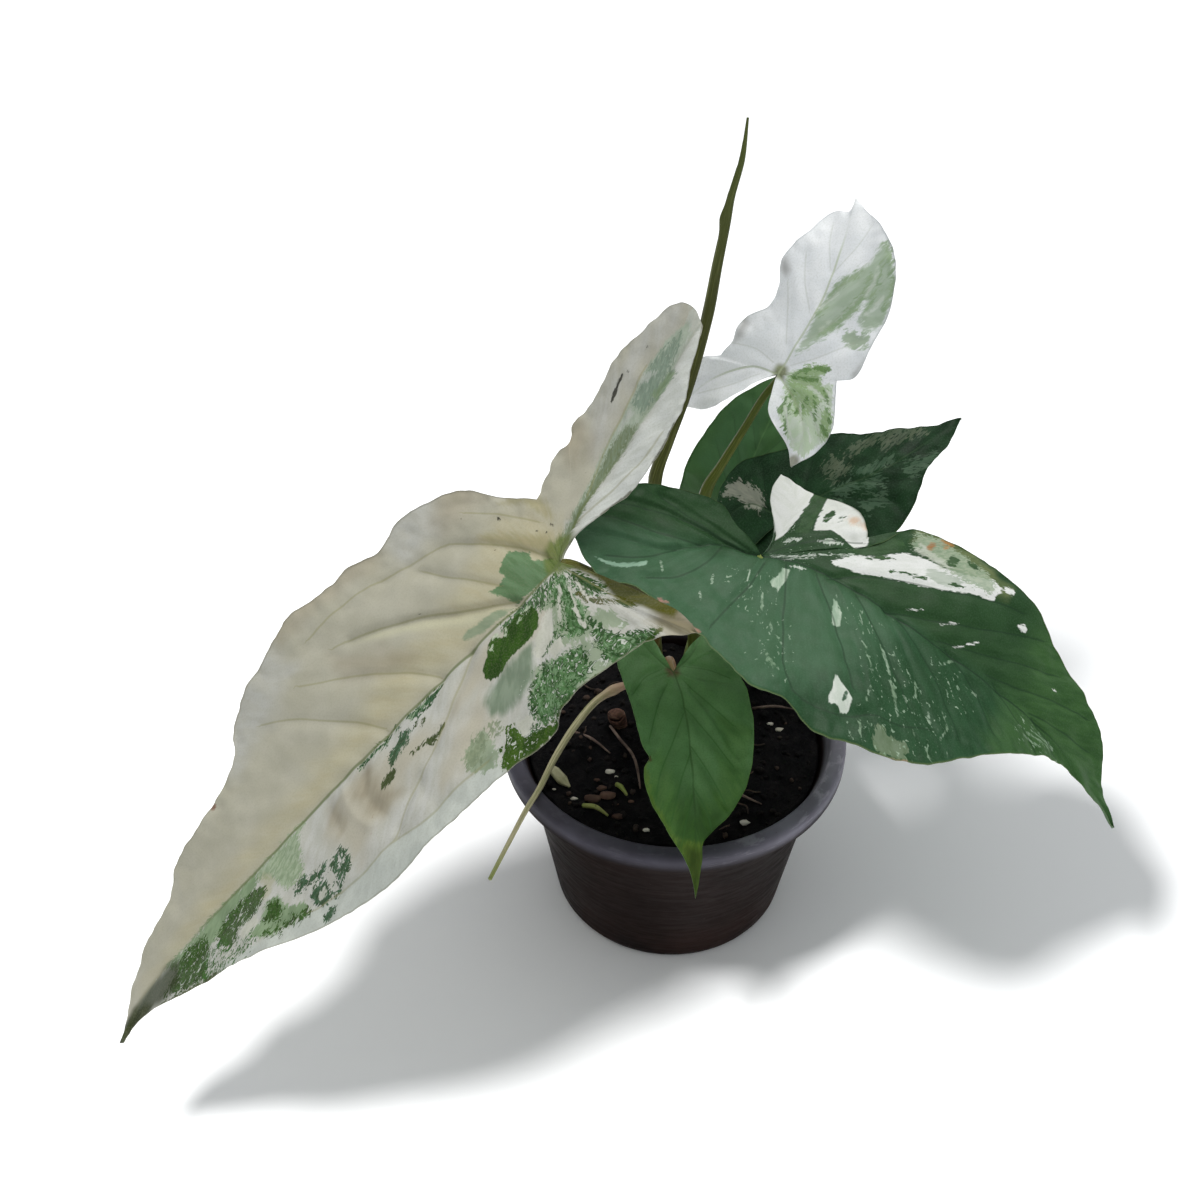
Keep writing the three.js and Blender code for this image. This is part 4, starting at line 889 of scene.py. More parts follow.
RIGHT = {
    "junction": [26, -5, 165], "tip": [149, -42, 84], "roll": 8, "arch": 13, "fold": 0.1,
    "columns": 50,
    "lobes": [
        {
            "rib": [[0, 0], [10, 4], [20, 5.2], [42, 4.8], [63, 4], [80, 4.1], [96, 5],
                    [106, 5.6], [133, 4.3], [146, 1.5], [152, 0]],
            "left": [
                [28, 23.5], [31.5, 28], [38, 39.5], [52, 44], [65, 46.5], [80.5, 46],
                [92, 42.5], [116.5, 30], [136, 17.5], [139, 12.5], [142.5, 6], [149, 2.2],
                [152, 0],
            ],
            "right": [
                [-5, -43.5], [6, -48.5], [13.5, -52.5], [23.5, -51], [37.5, -55], [49, -52.5],
                [61.5, -49], [72, -43], [84, -29.5], [103.5, -11.5], [117, -1.5], [124, 2],
                [135, 0.8], [149, -1.2], [152, 0],
            ],
            "rows": 160, "waves": 3,
        },
        {
            "rib": [[0, 0], [-12, -3], [-27.5, -18], [-43, -25], [-56, -32.5]],
            "left": [
                [-5, -43.5], [-20.5, -40.2], [-30.5, -38.4], [-39, -42], [-47, -40.3], [-56, -32.5],
            ],
            "right": [
                [0, 0], [-3.6, 2.4], [-11.5, 6], [-20, 9.5], [-27, 8], [-40, 1.5], [-47.5, -4.5],
                [-53.6, -16], [-56, -32.5],
            ],
            "rows": 90, "waves": 1,
        },
        {
            "rib": [[0, 0], [1.8, 12], [1.6, 25], [-1.5, 33], [-7, 37]],
            "left": [[0, 0], [0.8, 3.5], [0.5, 10], [-4.5, 21], [-7.5, 30.5], [-7, 37]],
            "right": [[28, 23.5], [23.5, 31.5], [16.5, 35.5], [6.5, 35.5], [-7, 37]],
            "rows": 50, "waves": 1, "plain": True,
        },
    ],
    "veins": [
        [[-5, -0.5], [-20, -1.5], [-38, -1]],
        [[-10, -1], [-25, -3], [-38, -8], [-48, -13.5]],
        [[-18, -8], [-30, -13], [-44, -18], [-54, -24]],
        [[-12, -4], [-14, -14], [-20, -26], [-28, -33]],
        [[-24, -15], [-32, -26], [-42, -34]],
        [[2, -2], [1, -14], [-2, -28], [-4, -38]],
        [[8, 1], [12, -12], [16, -26], [25, -45], [35, -46], [45, -43], [50, -38.5],
         [60, -36], [66, -32], [70, -29]],
        [[18, 3], [26, -8], [34, -20], [42, -33]],
        [[32, 3.5], [42, -6], [52, -17], [62, -28]],
        [[48, 4], [60, -4], [72, -15], [80, -24]],
        [[66, 5], [80, -2], [92, -12]],
        [[86, 6], [98, 0], [108, -6]],
        [[104, 6], [116, 2]],
        [[22, 4], [30, 11], [42, 18], [57, 25], [75, 34], [86, 38]],
        [[44, 5], [58, 12], [72, 20], [88, 30], [98, 36]],
        [[62, 6], [76, 12], [92, 20], [108, 28]],
        [[82, 7], [96, 12], [112, 19], [124, 22]],
        [[102, 7], [116, 11], [130, 14]],
        [[2, 3], [8, 11], [16, 18], [26, 24]],
    ],
    "marks": [
        # painted reflection: a lighter bluish tone below the rib, for the sheen on that half
        mark(("#44684b", "#4b6f53"), [area(
            (-60, -30), (-30, -12), (0, -1), (15, 4), (56, 5), (50, -20), (38, -38), (20, -55),
            (0, -55), (-60, -45))], "soft", 10, blur=6, opacity=0.62),
        mark(("#1e4024", "#264a2d"), [area(
            (50, 5), (100, 6), (104, -20), (60, -54), (12, -56), (34, -34))], "soft", 10,
            blur=7, opacity=0.8),
        mark(("#2f5026", "#3a5c2f"), [area(
            (92, 60), (92, -30), (160, -10), (160, 40))], "soft", 14, blur=7, opacity=0.8),
        # painted shade: a darker band just above the rib, on the half that turns away from the light
        mark(("#1f3d1c", "#264522"), [area(
            (14, 5), (60, 6), (100, 8), (96, 24), (60, 24), (34, 13))], "soft", 8, blur=3,
            opacity=0.6),
        mark(("#6a764c", "#566740"), [area(
            (40, 36), (50, 34), (64, 34), (78, 38), (78, 44), (60, 46), (40, 42))],
            "soft", 6, blur=2, opacity=0.9),
        mark(("#dadcd7", "#e3e4e1"), [area(
            (20, 10.9), (23, 14.8), (26.5, 18.6), (32, 21.8), (38.4, 28.3), (41.7, 30.5),
            (47, 32), (52.5, 32.7), (61, 35.4), (66.6, 38), (71, 40.8), (74, 40), (75, 38),
            (73.5, 36), (74.6, 33.7), (67.7, 31.4), (61, 27.7), (55.8, 24.4), (47, 20.1),
            (36, 15.8), (28.7, 12), (21, 9.8)),
            area((76, 39.5), (79.5, 40), (79.5, 43), (75.5, 42.5)),
            area((85.5, 31.6), (88.5, 31.4), (90.2, 33), (87, 34.6)),
            stroke(0.3, (67.5, 7.5), (71, 11), (75.5, 16)), stroke(0.3, (107, 21), (108.5, 21.5)),
            stroke(0.25, (60, 12), (66, 17)), stroke(0.2, (48, 9), (53, 13))],
            "flecks", 2.4, 1, 9),
        mark(("#9aa795", "#aab5a5"), [area((49, 25.5), (56, 26.5), (61.5, 30), (61, 33),
            (54, 31.5), (49, 29))], "streaks", 5, 1, 4, 0.75, 0.5),
        mark(("#8fa287", "#a9b59c"), [area(
            (41, 34), (50, 34), (62, 33), (72, 35), (72, 40), (60, 42), (50, 43), (40, 40))],
            "specks", 8, 1.2, 2.2, 0.85, 0.5),
        mark(("#b9bfae", "#cfd2c8"), [area((42, 33), (54, 32.5), (56, 35), (44, 36.5))],
             "flecks", 6, 1, 2, 0.7, 0.6),
        mark(("#2f4c2a", "#3d5b34"), [
            area((53.5, 35), (57, 35.5), (57, 39.5), (54, 40)), area((60, 39), (65, 40),
            (64, 42), (60, 41.5)), area((29, 19), (33, 21), (38, 25), (34, 24)),
            stroke(0.5, (44, 22), (50, 25)), stroke(0.4, (38, 19), (43, 22)),
            stroke(0.6, (58, 29), (62, 30.5))], "flecks", 4, 1, 5),
        mark(("#b07a3c", "#9a5f33"), [
            stroke(1.0, (46.5, 37), (46.8, 39)), stroke(1.0, (51, 41)),
            stroke(0.6, (49, 42.5), (53, 43.5))], "flecks", 2, 1, 3, 0.85, 0.5),
        mark(("#e4e5e1", "#dcded7"), [area(
            (1.2, 8), (3, 12), (4.5, 22), (5.6, 30), (5.2, 38), (-2, 40), (-8, 38), (-9, 32),
            (-8, 28), (-5, 20), (-1, 13), (0.6, 10)), area(
            (9.7, 37), (16, 37), (24, 33), (28, 24), (25, 20.5), (20, 22), (15, 22.6),
            (12, 20), (10.2, 18.6), (9.7, 25))],
            "streaks", 1.2, 1, 9),
        mark(("#b9c6b6", "#d8dcd5"), [
            area((13, 15.6), (14.6, 18), (17, 19.4), (20.6, 20), (19, 18.4), (16, 16.4)),
            stroke(0.4, (4.6, 9.4), (5.4, 11.4)), stroke(0.35, (5.4, 11.8), (8, 13)),
            stroke(0.2, (3, 1.8), (9, 5.6), (14, 9.6), (19, 13.4)),
            stroke(0.16, (6, 2.6), (11, 6.4), (14, 8.8)), stroke(0.3, (21.4, 14.6), (25, 17.6)),
            area((9, 0.6), (11, 2.6), (14, 2.8), (12.6, 1.2))], "specks", 4, 1, 2, 0.85, 0.25),
        mark(("#86a083", "#b4c4b0"), [area(
            (3, 3), (10, 5), (20, 12), (27, 19), (20, 21), (10, 17), (5, 16))],
            "specks", 10, 1, -1.9, 0.8, 0.2),
        mark(("#35532f", "#294624"), [area(
            (5.5, 15), (9, 16), (9.5, 25), (9.5, 37), (5.5, 37), (5, 24)), area(
            (22, 18), (28, 24), (33, 32), (37, 34), (40, 32), (36, 26), (30, 21)),
            stroke(0.9, (12, 25.5), (13, 30.5)), stroke(0.5, (16, 27), (17, 31))],
            "streaks", 4, 1, 5),
        mark(("#d9a05c", "#cf8f4d"), [stroke(1.6, (20, 30)), stroke(1.2, (24, 30))],
             "flecks", 4, 1, 3, 0.5, 1.5),
        mark(("#93ab93", "#b4c4b0"), [
            area((7.4, -1), (9.8, -0.4), (10, -6), (9.2, -12.2), (8.4, -10.6), (7.2, -11.4),
                 (5.6, -9), (7.2, -5)),
            area((26, -3), (26.8, -3.6), (28.2, -6), (29.4, -7), (31, -13), (28.4, -13.4),
                 (26.8, -9)),
            stroke(0.25, (35, -3.4), (37, -7.3)), stroke(0.2, (40.2, -4.4), (41.2, -8.3)),
            stroke(0.25, (46, 3.4)), stroke(0.3, (-10.5, -17.5), (-9.5, -21.5)),
            stroke(0.3, (-11.5, -27.2), (-10.2, -29.6)), stroke(0.2, (-1, -8.5), (-0.4, -13.5)),
            stroke(0.35, (-26.6, -23.6), (-24.8, -27.2))], "flecks", 1.6, 1, 9),
        mark(("#86a083", "#9bb19a"), [
            stroke(0.25, (39.7, -14.2), (41.6, -18)), stroke(0.25, (41.5, -15.4), (43.4, -20)),
            stroke(0.3, (42.2, -18), (45.6, -23.4)), stroke(0.35, (44.8, -10.2), (48, -15)),
            stroke(0.45, (46.4, -12), (51.2, -19)), stroke(0.2, (49.6, -10), (51.2, -14)),
            stroke(0.4, (51.8, -21.8), (55.6, -28)), stroke(0.45, (53.8, -23.2), (57.8, -33)),
            stroke(0.5, (59.4, -15.9), (61.6, -21)), stroke(0.3, (71.3, -19.6), (74.8, -24.5)),
            stroke(0.3, (74.8, -24.5), (73.4, -31)), stroke(0.35, (67.2, -23.2), (68.8, -26.8)),
            stroke(0.25, (46.3, -28.4), (46.8, -35.2)), stroke(0.3, (63.4, -33.2), (64.8, -36.4)),
            stroke(0.25, (76.8, -33.2), (78.2, -34.3)), stroke(0.5, (69.6, -38.6), (73.2, -41.7)),
            stroke(0.35, (47.3, -42), (49, -47.6)), stroke(0.3, (50.4, -42.2), (52.2, -45.4)),
            stroke(0.3, (5.4, -15.5), (7.6, -23.4)), stroke(0.3, (11.3, -25.4), (13.2, -28.8)),
            stroke(0.3, (15.4, -29.4), (19.4, -32.8)), stroke(0.45, (13.4, -37.3), (19.6, -41.7)),
            stroke(0.35, (14.2, -39.6), (17.6, -42.6)), stroke(0.35, (66.9, -1), (69.6, 3)),
            stroke(0.2, (73.3, 0.6)), stroke(0.3, (101.5, -3.6), (109, -3.4)),
            stroke(0.3, (103, -1.6), (113.6, 0.6)), stroke(0.25, (104.4, 0.8), (116, 2.6)),
            stroke(0.2, (110, 2.4), (116, 3.2))], "flecks", 2.4, 1, 3, 0.7, 0.3),
        mark(("#c3ccc0", "#d3d8cf"), [
            area((35.2, -31.3), (37.3, -33), (40.3, -35), (42.5, -37.5), (43.8, -42.5),
                 (42, -43.5), (39.5, -41.5), (37.5, -43), (36.6, -41), (36, -37))],
            "streaks", 1.6, 1, 9),
        mark(("#82a48c", "#93b29b"), [
            area((-45, -37.6), (-38, -34.4), (-33, -30), (-30.5, -26.3), (-30, -28.8),
                 (-34, -33), (-39, -36.6))], "flecks", 2, 1, 9),
        mark(("#66785a", "#74846a"), [
            area((52.5, -40.5), (58, -41.5), (65, -41), (64.5, -48), (56, -49.7),
                 (53, -46))], "flecks", 7, 1, 2.4, 0.8, 0.5),
        mark(("#7f9a80", "#9fb49c"), [area(
            (38, -12), (50, -9), (60, -18), (76, -22), (70, -38), (54, -34), (44, -24)), area(
            (11, -35), (21, -35), (21, -44), (11, -43)), area(
            (10, -22), (19, -24), (20, -35), (12, -31)), area(
            (46, -40), (66, -40), (66, -48), (46, -49)), area(
            (64, -2), (80, -4), (80, -14), (66, -10)), area(
            (-9, -14), (4, -8), (10, -20), (4, -28), (-4, -22)), area(
            (26, -3), (42, -3), (42, -9), (28, -8)), area(
            (98, -8), (118, -1), (112, 3), (100, 2))], "flecks", 13, 1, -1.75, 0.75, 0.2),
        mark(("#3d5b45", "#35523c"), [stroke(0.6, (40.5, -35.5), (40.5, -39))], "flecks", 1.5,
             1, 3),
        mark(("#b98a80", "#a87468"), [
            stroke(0.6, (-22, -38.8), (-19, -38.8)), stroke(0.7, (-11, -42), (-6.5, -42.8)),
            stroke(0.4, (60, -49.3), (66, -47))], "flecks", 2, 1, 3, 0.8, 0.4),
    ],
    "ground": ("#213f1f", "#274625"), "vein_tone": "#1c3420", "vein_width": 0.55,
    "vein_show": 0.55, "rib_tone": "#1b3320", "rib_width": 0.5, "rib_show": 0.75,
    # rim_tone is a paler margin line: painted light along the edge
    "rim_tone": "#6f7c4e", "under_tone": "#5f7d5c", "rough": 0.44, "gloss": 0.12,
    "folds": [
        (-0.4, 2.0, [[46.5, -38.3], [55.8, -37.2], [63.3, -34], [69.8, -30], [77.4, -24.8]]),
        (0.7, 1.3, [[0, 0], [-10, -1.6], [-20, -2.7], [-35, -4.7], [-48, -11]]),
        (0.5, 1.2, [[-4, 0.3], [-17, 1], [-27, 0.8], [-36, 0.3]]),
        (0.6, 2.0, [[42, 5], [52, -6], [60, -16], [66, -26]]),
        (-0.5, 2.2, [[24, 3], [34, -8], [42, -20], [48, -32]]),
    ],
    "skin_tone": "#6f9076", "skin_show": 0.1,
    "uneven": 0.5,
    "quilt": 0.65, "quilt_width": 2.0, "ruffle": 2.2, "groove": 0.6, "ridge": 1.3,
    "crumple": 0.6,
    "seed": 4.1,
}

leaf_piece("blade_right", "leaf_right", RIGHT, "dark_leaf")


# ------------------------------------------------------ upper right: the white leaf

UPPER_RIGHT = {
    "junction": [28, 28, 213], "tip": [50, 62, 258], "roll": 4, "arch": 3, "fold": 0.14,
    "columns": 34,
    "lobes": [
        {
            "rib": [[0, 0], [9.5, -2], [26.5, -4.5], [45.5, -3], [60.5, 0]],
            "left": [
                [-1, 20.5], [4, 18.5], [12, 17.5], [19, 11.5], [25.5, 10.5], [33, 12],
                [43, 9], [54, 5], [56, 0.5], [60.5, 0],
            ],
            "right": [
                [4.5, -19.5], [7.5, -25], [19, -26.5], [32.5, -26.5], [43.5, -23.5],
                [53, -14.5], [58.5, -3.5], [60.5, 0],
            ],
            "rows": 110, "waves": 2,
        },
        {
            "rib": [[0, 0], [-0.5, 9], [-9, 21], [-21, 29]],
            "left": [[0, 0], [-3, 3.5], [-11, 10.5], [-19, 20], [-21, 29]],
            "right": [[-1, 20.5], [-4.5, 26.5], [-10.5, 28.5], [-21, 29]],
            "rows": 60, "waves": 1,
        },
        {
            "rib": [[0, 0], [-5, -7.5], [-13.5, -15], [-25.5, -15.5]],
            "left": [[4.5, -19.5], [0.5, -21], [-9.5, -24.5], [-19, -21], [-25.5, -15.5]],
            "right": [[0, 0], [-7.5, -1.5], [-13.5, -3.5], [-20.5, -12], [-25.5, -15.5]],
            "rows": 60, "waves": 1,
        },
    ],
    "veins": [
        [[3, 3], [5, 10], [4, 18]], [[10, 1], [20, 5], [28, 8]], [[22, -2], [30, 3], [38, 6]],
        [[-2, 6], [-10, 16], [-15, 24]], [[36, -3], [44, 1], [50, 3]],
        [[12, -4], [18, -9], [28, -15], [35, -19]], [[4, -3], [10, -12], [18, -21]],
        [[24, -5], [34, -10], [44, -15]], [[36, -4.5], [46, -8], [53, -9]],
        [[-4, -9], [-8, -16], [-14, -21]], [[0, -6], [0, -13], [-3, -20]],
    ],
    "marks": [
        mark(("#a8bba0", "#98af8d"), [area(
            (8, -3.2), (14, -4), (20, -4.6), (27, -5), (32, -6.4), (36, -9), (39, -12), (42, -15),
            (50, -16), (48, -19.4), (44, -22.6), (36, -26.4), (28, -26.8), (23, -24.8),
            (21.4, -21.6), (24, -19), (30, -18.2), (25, -16.6), (20, -13.8), (15, -9.8),
            (11, -6.6))], "flecks", 5, 1, 4, 0.85, 1.1),
        mark(("#83a072", "#97ae86"), [
            stroke(1.1, (16, -8.6), (20, -11.4), (25, -14.6), (31, -17), (37, -17.6)),
            area((16, -16.5), (19, -15.8), (20.6, -17.6), (20, -20), (21.6, -24), (17.4, -25.6),
                 (15.2, -21)), stroke(0.9, (30, -25), (38, -25.2), (44, -21.6), (49, -17.4)),
            stroke(0.7, (22, -5.6), (30, -7.4), (34, -9.6), (38, -13)), stroke(
            0.8, (28, -20), (36, -20.6), (42, -19))], "flecks", 7, 1.1, 2.4, 0.75, 0.8),
        mark(("#dde3da", "#ccd6c6"), [stroke(0.5, (26.6, -20.6), (30, -22.4), (34, -24)),
            stroke(0.5, (32, -18), (37, -18.8), (41, -18.6)), stroke(0.4, (17, -8), (21, -10)),
            stroke(0.4, (24, -5.4), (30, -8.6))], "flecks", 4, 1, 3, 0.7, 0.6),
        # painted shadow: grey patches where the margin waves
        mark(("#a9a7a2", "#9f9d99"), [area((4, 18), (7, 15.4), (11, 15.6), (13, 17.4)), area(
            (29, 9.4), (31.4, 8.4), (34, 11), (30.6, 12)), area((6, -25), (8, -23.6),
            (13, -26))], "soft", 3, blur=1.6, opacity=0.7),
        mark(("#c2d6b3", "#d0dcc8"), [area(
            (-2, -3), (-8, -5), (-12, -6), (-15.4, -9), (-20, -13.4), (-21.4, -18.6),
            (-16, -21), (-13.6, -24), (-8, -24), (-3, -21.4), (0, -20), (3, -18.5), (2, -15.6),
            (4, -14), (7, -16), (7.6, -14), (6, -10), (3, -5), (1, -3))],
            "flecks", 5, 1, 5, 0.9, 0.5),
        mark(("#8cae6b", "#9dba82"), [area(
            (1, -4), (-5, -6), (-9, -9), (-10, -13), (-4, -17), (1, -19), (2.6, -14), (7, -15.6),
            (6, -9)), area((-5, -19), (-13, -20), (-13.4, -24), (-6, -23))],
            "specks", 8, 1, 1.2, 0.8, 0.4),
        mark(("#4f7a2e", "#668f46"), [
            stroke(0.7, (3.4, -7), (5.4, -11), (7, -15.4)), stroke(0.5, (1, -5), (2.4, -13)),
            stroke(0.45, (-10.6, -5.6), (-6, -5.4)), stroke(0.5, (-15.8, -9.4), (-10, -8), (-4, -6.6)),
            stroke(0.5, (-9, -10.6), (-4, -12.4)), stroke(0.7, (-12, -23), (-10.6, -20.6)),
            stroke(0.5, (-8, -22.6), (-4, -20.6)), stroke(0.6, (-2.4, -18.8), (0.4, -16.4)),
            stroke(0.4, (-3, -14.8), (-9, -17.6))], "flecks", 6, 1, 2, 0.85, 0.35),
        mark(("#dfe5da", "#d2dccb"), [
            stroke(0.4, (-9, -6.8), (-15, -10.6), (-19, -13.4)), stroke(0.35, (0, -11), (-2, -18)),
            stroke(0.3, (-6, -10.6), (-12, -13.6)), stroke(0.35, (-1, -20.4), (2, -15.6)),
            stroke(0.3, (-12, -16), (-16, -18.6))], "flecks", 3, 1, 3, 0.8, 0.3),
        mark(("#77735a", "#8b8a70"), [stroke(2.4, (-24, -15.6))], "soft", 3, 1, 3, 0.8, 1.0),
        mark(("#7b8348", "#6b7440"), [stroke(2.4, (1, -0.5))], "soft", 3, 1, 3, 0.9, 1.2),
    ],
    "ground": ("#f7f9fa", "#eff2f4"), "vein_tone": "#b3b8a8", "vein_width": 0.4,
    "vein_show": 0.25, "rib_tone": "#b4bf9c", "rib_width": 0.5, "rib_show": 0.6,
    # rim_tone is a grey line along the margins: painted shade at the edges
    "rim_tone": "#bfc4c1", "under_tone": "#dde0d8", "rough": 0.45, "gloss": 0.3,
    "wave_height": 1.9,
    "skin_tone": "#b9beb4", "skin_show": 0.25,
    "uneven": 0.5,
    "quilt": 0.5, "quilt_width": 2.0, "ruffle": 2.4, "groove": 0.4, "ridge": 0.9,
    "crumple": 0.7,
    "seed": 9.3,
}

leaf_piece("blade_upper_right", "leaf_upper_right", UPPER_RIGHT, "white_leaf")


# ------------------------------------------------------------------- smaller leaves

SMALL_FRONT = {
    "junction": [-1, -15, 121], "tip": [9.5, -80, 82], "roll": -6, "arch": 8, "fold": 0.16,
    "columns": 34,
    "lobes": [
        {
            "rib": [[0, 0], [10.5, 1.5], [28.5, 1.5], [50.5, 1], [76.5, 0]],
            "left": [
                [8.5, 23.5], [25.5, 22.5], [41, 19], [52, 11.5], [59.5, 3], [65, 2.5],
                [76.5, 0],
            ],
            "right": [
                [10.5, -17], [27, -15], [32, -13], [35, -15], [44, -14.5], [55.5, -9],
                [67, -2], [76.5, 0],
            ],
            "rows": 120, "waves": 2,
        },
        {
            "rib": [[0, 0], [-6, 7], [-15, 13]],
            "left": [[0, 0], [-10, 7.5], [-15, 13]],
            "right": [[8.5, 23.5], [-6, 20], [-15, 13]],
            "rows": 44, "waves": 0,
        },
        {
            "rib": [[0, 0], [-6.5, -5.5], [-16.5, -11.5]],
            "left": [[10.5, -17], [-2.5, -19], [-10.5, -18], [-16.5, -11.5]],
            "right": [[0, 0], [-6.5, -2.5], [-14, -6], [-16.5, -11.5]],
            "rows": 44, "waves": 0,
        },
    ],
    "veins": [
        [[5, -3], [12, -7], [25, -12]], [[16, 1], [26, -4], [38, -10], [46, -12]],
        [[30, 1.5], [40, -3], [52, -7]], [[44, 1], [52, -2], [60, -4]],
        [[4, 3], [12, 9], [22, 17]], [[14, 2], [24, 8], [36, 15]],
        [[28, 2], [38, 7], [48, 11]], [[42, 1.5], [50, 5], [56, 6]],
        [[-1, -4], [2, -10], [8, -15]], [[-2, 4], [0, 12], [4, 19]],
    ],
    "marks": [
        mark(("#294a10", "#345918"), [area(
            (38, 24), (66, 10), (80, 2), (80, -4), (60, -12), (36, -20), (46, 2))],
            "soft", 8, blur=9, opacity=0.85),
        mark(("#5f7726", "#6d8434"), [
            stroke(1.1, (34, -15), (44, -14.5), (55.5, -9), (62, -5)),
            area((60, 4), (66, 3), (77, 0.5), (77, -1), (64, -4), (58, -5))],
            "flecks", 4, 1, 3, 0.6, 1.2),
        mark(("#26330a", "#323e10"), [area(
            (62, 3), (66, 3), (78, 0.8), (78, -1), (66, -3), (61, -2))],
            "soft", 3, blur=2, opacity=0.75),
        mark(("#527c3c", "#5f8844"), [area(
            (20, 12), (38, 10), (50, 6), (52, 12), (40, 19), (24, 22)), area(
            (30, -6), (48, -5), (56, -7), (44, -14), (30, -12))], "soft", 8, 1, 5, 0.45, 2),
        mark(("#5d4a2c", "#4c3a24"), [stroke(0.9, (32, -12.8)), stroke(0.4, (33, -14.5))],
             "flecks", 2, 1, 3, 0.9, 0.3),
        mark(("#5b4430", "#6a4b38"), [stroke(2.2, (0, 0))], "soft", 3, 1, 3, 0.85, 1.2),
    ],
    "ground": ("#658f5a", "#5b8450"), "vein_tone": "#3c6730", "vein_width": 0.4,
    "vein_show": 0.55, "rib_tone": "#375a2a", "rib_width": 0.5, "rib_show": 0.6,
    "rim_tone": "#6a8f4a", "under_tone": "#6f9168", "rough": 0.42, "gloss": 0.14,
    "skin_tone": "#2f5228", "skin_show": 0.3,
    "uneven": 0.4,
    "folds": [
        (0.7, 1.8, [[1, -3], [4, -9], [8, -15]]), (0.7, 1.8, [[1, 3], [4, 10], [6, 18]]),
        (0.6, 2.2, [[8, -5], [18, -9], [28, -12]]), (0.6, 2.2, [[8, 5], [20, 11], [32, 16]]),
        (-0.5, 2.2, [[-2, 4], [-6, 10], [-8, 15]]), (-0.5, 2.2, [[-2, -4], [-6, -9], [-8, -14]]),
    ],
    "quilt": 0.9, "quilt_width": 2.0, "ruffle": 1.3, "groove": 0.55, "ridge": 0.9,
    "crumple": 0.6,
    "seed": 12.9,
}

BACK_RIGHT = {
    "junction": [36, 52, 137], "tip": [101, 86, 161], "roll": 12, "arch": 7, "fold": -0.14,
    "columns": 34,
    "lobes": [
        {
            "rib": [[0, 0], [16.5, -2], [39.5, -6.5], [68.5, -2.5], [77, 0]],
            "left": [[21.5, 23], [33.5, 18.5], [53, 7], [63, 3], [77, 0]],
            "right": [
                [1, -33.5], [14, -33], [27, -30], [37.5, -26], [53.5, -14.5], [67.5, -7],
                [77, 0],
            ],
            "rows": 110, "waves": 2,
        },
        {
            "rib": [[0, 0], [-6, 14], [-15.5, 15], [-22.5, 8.5]],
            "left": [[0, 0], [-8, -2], [-15, -1.5], [-22.5, 8.5]],
            "right": [[21.5, 23], [12, 25.5], [0.5, 31], [-9, 29], [-20, 17], [-22.5, 8.5]],
            "rows": 56, "waves": 1, "over": 1.2,
        },
        {
            "rib": [[0, 0], [-13, -9.5], [-25, -16]],
            "left": [[1, -33.5], [-12, -31], [-21, -25.5], [-25, -16]],
            "right": [[0, 0], [-9.5, -0.5], [-22, -6], [-25, -16]],
            "rows": 50, "waves": 0,
        },
    ],
    "veins": [
        [[4, -2], [12, -12], [20, -22]], [[16, -2], [26, -12], [36, -20]],
        [[28, -4], [38, -12], [48, -16]], [[42, -6], [52, -9], [60, -9]],
        [[8, 0], [16, 8], [24, 16]], [[22, -2], [32, 5], [42, 9]],
        [[36, -5], [46, 0], [56, 3]], [[-4, 6], [2, 16], [6, 24]], [[-6, -5], [-8, -16],
        [-8, -26]], [[50, -5], [60, -2], [68, 0]],
    ],
    "marks": [
        mark(("#84877a", "#9a9a8c"), [area(
            (-12, 24), (-8, 27), (-4, 25), (-2, 20), (0, 15), (-2, 10), (-5, 9), (-7, 14),
            (-8, 20))], "flecks", 8, 1.3, 1.4, 0.7, 0.6),
        mark(("#626a55", "#505c48"), [
            area((34, 6), (48, 6), (48, 10), (34, 10)), area((44, 1), (62, 0), (60, 7),
            (46, 8)), area((22, 0), (30, 1), (28, 10), (22, 8))], "flecks", 11, 1.4, 0.7, 0.6, 0.5),
        mark(("#48604b", "#586f58"), [
            area((20, -3), (28, -4), (28, -8), (20, -8)), area((30, -7), (37, -8), (37, -11),
            (30, -11)), area((25, -13), (35, -14), (34, -18), (26, -18)),
            area((45, -11), (60, -9), (58, -13), (46, -15)), area((48, -8), (53, -8),
            (53, -11)), area((30, -1), (45, -3), (44, -6), (32, -5))],
            "flecks", 10, 1.4, 1.0, 0.55, 0.5),
    ],
    "ground": ("#0d250f", "#17351a"), "vein_tone": "#0f2011", "vein_width": 0.4,
    "vein_show": 0.4, "rib_tone": "#33492f", "rib_width": 0.5, "rib_show": 0.6,
    "rim_tone": "#56683f", "under_tone": "#55704f", "rough": 0.5, "gloss": 0.1,
    "skin_tone": "#5c7862", "skin_show": 0.15,
    "uneven": 0.6,
    "quilt": 0.7, "quilt_width": 2.0, "ruffle": 1.4, "groove": 0.45, "ridge": 0.9,
    "crumple": 0.5,
    "seed": 15.2,
}

